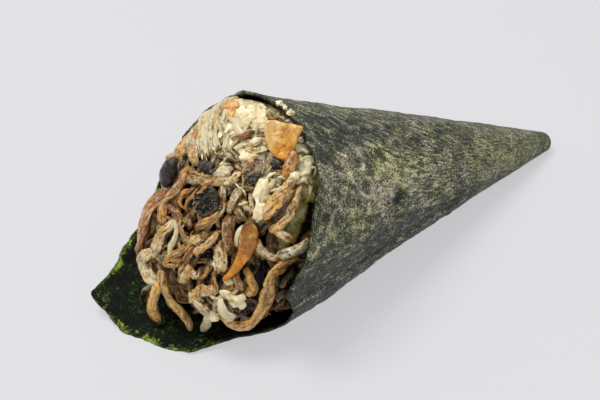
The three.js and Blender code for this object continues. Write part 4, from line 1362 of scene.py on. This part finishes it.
mushroom = mushroom_material()
dark_skin = cap_material("dark_cap_skin")
cream = moist_food("cream_cheese", [(190, 170, 120), (230, 214, 168), (246, 239, 210)], (0.22, 0.4), 1.0)
# Rice painted dark olive for the shade it lies in and the green the sheet reflects onto it.
shaded_rice_look = moist_food("shaded_cooked_rice", [(98, 88, 40), (146, 134, 72), (190, 182, 130)], (0.2, 0.4))
pale_rice = moist_food("pale_rice", [(146, 146, 100), (190, 188, 144), (224, 220, 188)], (0.2, 0.35))
golden = slice_material("golden_slice")

finish_piece("nori_sheet", nori_sheet(), nori_material(), "nori", "nori")
finish_piece("rice_plug", rice_plug(), shaded_rice_look, "rice", "rice")
finish_piece("rice_grains", rice_grains(), shaded_rice_look, "rice")
finish_piece("rice_by_rim", rice_by_rim(), shaded_rice_look, "rice")
finish_piece("pale_grains", pale_grains(), pale_rice, "rice")
finish_piece("rice_crumbs", rice_crumbs(), cream, "rice")
finish_piece("mushroom_core", mushroom_core(), mushroom, "mushroom", "mushroom_heap")
finish_piece("mushroom_strips", mushroom_strips(), mushroom, "mushroom")
finish_piece("mushroom_under_strips", mushroom_under_strips(), mushroom, "mushroom")
finish_piece("mushroom_far_strips", mushroom_far_strips(), mushroom, "mushroom")
finish_piece("mushroom_shreds", mushroom_shreds(), mushroom, "mushroom")
finish_piece("mushroom_lumps", mushroom_lumps(), mushroom, "mushroom")
finish_piece("orange_bit", orange_bit(), golden, "golden_slice")
finish_piece("dark_scraps_and_shade_patches", dark_scraps_and_shade_patches(), dark_skin, "dark_cap")
finish_piece("dark_cap", dark_cap(), dark_skin, "dark_cap", "cap_left")
finish_piece("gilled_cap", gilled_cap(), dark_skin, "dark_cap", "cap_middle")
finish_piece("cream_cheese_spread", cream_spread(), cream, "cream_cheese", "cream_cheese")
finish_piece("golden_slice_upper", golden_slice(
    at=(13.5, 31.5, 0.2), facing=(-0.52, -0.63, 0.57), thick=1.8,
    corners=[
        (-3.5, 4.4), (-2.6, 4.4), (0.3, 3.85), (3.2, 3.3), (4, 3), (3.7, 2.2), (3, 0.6), (2.3, -1.5),
        (1.4, -3.2), (0.2, -4.1), (-1.4, -3.7), (-3.2, -2.2), (-3.9, -0.4), (-4.3, 2), (-4.2, 3.6),
    ],
    cup=0.1, pale=0.6, tints=[(220, 154, 54), (232, 186, 100)], seed=1.0,
), golden, "golden_slice", "golden_slice_top")
finish_piece("golden_slice_lower", golden_slice(
    at=(19.5, 4.5, 0.2), facing=(-0.68, -0.68, 0.25), thick=1.6,
    corners=[
        (0.2, 6.3), (1.7, 5.7), (2.6, 3.8), (2.3, 1), (1, -1.9), (-0.6, -4.2), (-2.7, -6.7), (-4.6, -7.8),
        (-4.8, -7), (-3.2, -4.7), (-2, -1.8), (-1.6, 0.8), (-1.2, 3.8),
    ],
    cup=-0.5, pale=0.4, tints=[(230, 150, 42), (146, 102, 34)], seed=2.0,
), golden, "golden_slice", "golden_slice_front")


# ---------------------------------------------------------------- floor, light and camera

FLOOR_SIZE = 6.0
FLOOR_COLOUR = rgb(120, 120, 122)
FLOOR_GLOW = 2.74
ROOM_LIGHT = 0.55
SOFTBOX_PLACE, SOFTBOX_SIZE, SOFTBOX_POWER = (-0.28, 0.14, 0.86), 0.45, 6.0
SOFTBOX_COLOUR = (1.0, 0.985, 0.96)
CAMERA_FROM_APEX = Vector((-269.63, -211.49, 210.71))
CAMERA_TURN = (55.2, 0, -39.3)
LENS = 85


def in_scene(name, data):
    made = bpy.data.objects.new(name, data)
    bpy.context.scene.collection.objects.link(made)
    return made


def floor():
    bm = bmesh.new()
    bmesh.ops.create_grid(bm, x_segments=1, y_segments=1, size=FLOOR_SIZE / 2)
    mesh = bpy.data.meshes.new("floor")
    bm.to_mesh(mesh)
    bm.free()
    material, _, shader = new_material("pale_floor")
    shader.inputs["Base Color"].default_value = FLOOR_COLOUR
    shader.inputs["Emission Color"].default_value = FLOOR_COLOUR
    shader.inputs["Emission Strength"].default_value = FLOOR_GLOW
    shader.inputs["Roughness"].default_value = 0.75
    mesh.materials.append(material)
    in_scene("floor", mesh)


def light():
    world = bpy.data.worlds.new("soft_room")
    world.use_nodes = True
    room = world.node_tree.nodes["Background"]
    room.inputs["Color"].default_value = (1.0, 1.0, 1.0, 1)
    room.inputs["Strength"].default_value = ROOM_LIGHT
    bpy.context.scene.world = world
    lamp = bpy.data.lights.new("softbox", "AREA")
    lamp.shape = "DISK"
    lamp.size = SOFTBOX_SIZE
    lamp.energy = SOFTBOX_POWER
    lamp.color = SOFTBOX_COLOUR
    softbox = in_scene("softbox", lamp)
    softbox.location = SOFTBOX_PLACE
    softbox.rotation_euler = (-Vector(SOFTBOX_PLACE)).to_track_quat("-Z", "Y").to_euler()


def camera():
    data = bpy.data.cameras.new("camera")
    data.lens = LENS
    holder = in_scene("camera", data)
    holder.location = (CAMERA_FROM_APEX + APEX) * MM
    holder.rotation_euler = [math.radians(a) for a in CAMERA_TURN]
    bpy.context.scene.camera = holder
    bpy.context.scene.view_settings.view_transform = "Standard"


floor()
light()
camera()
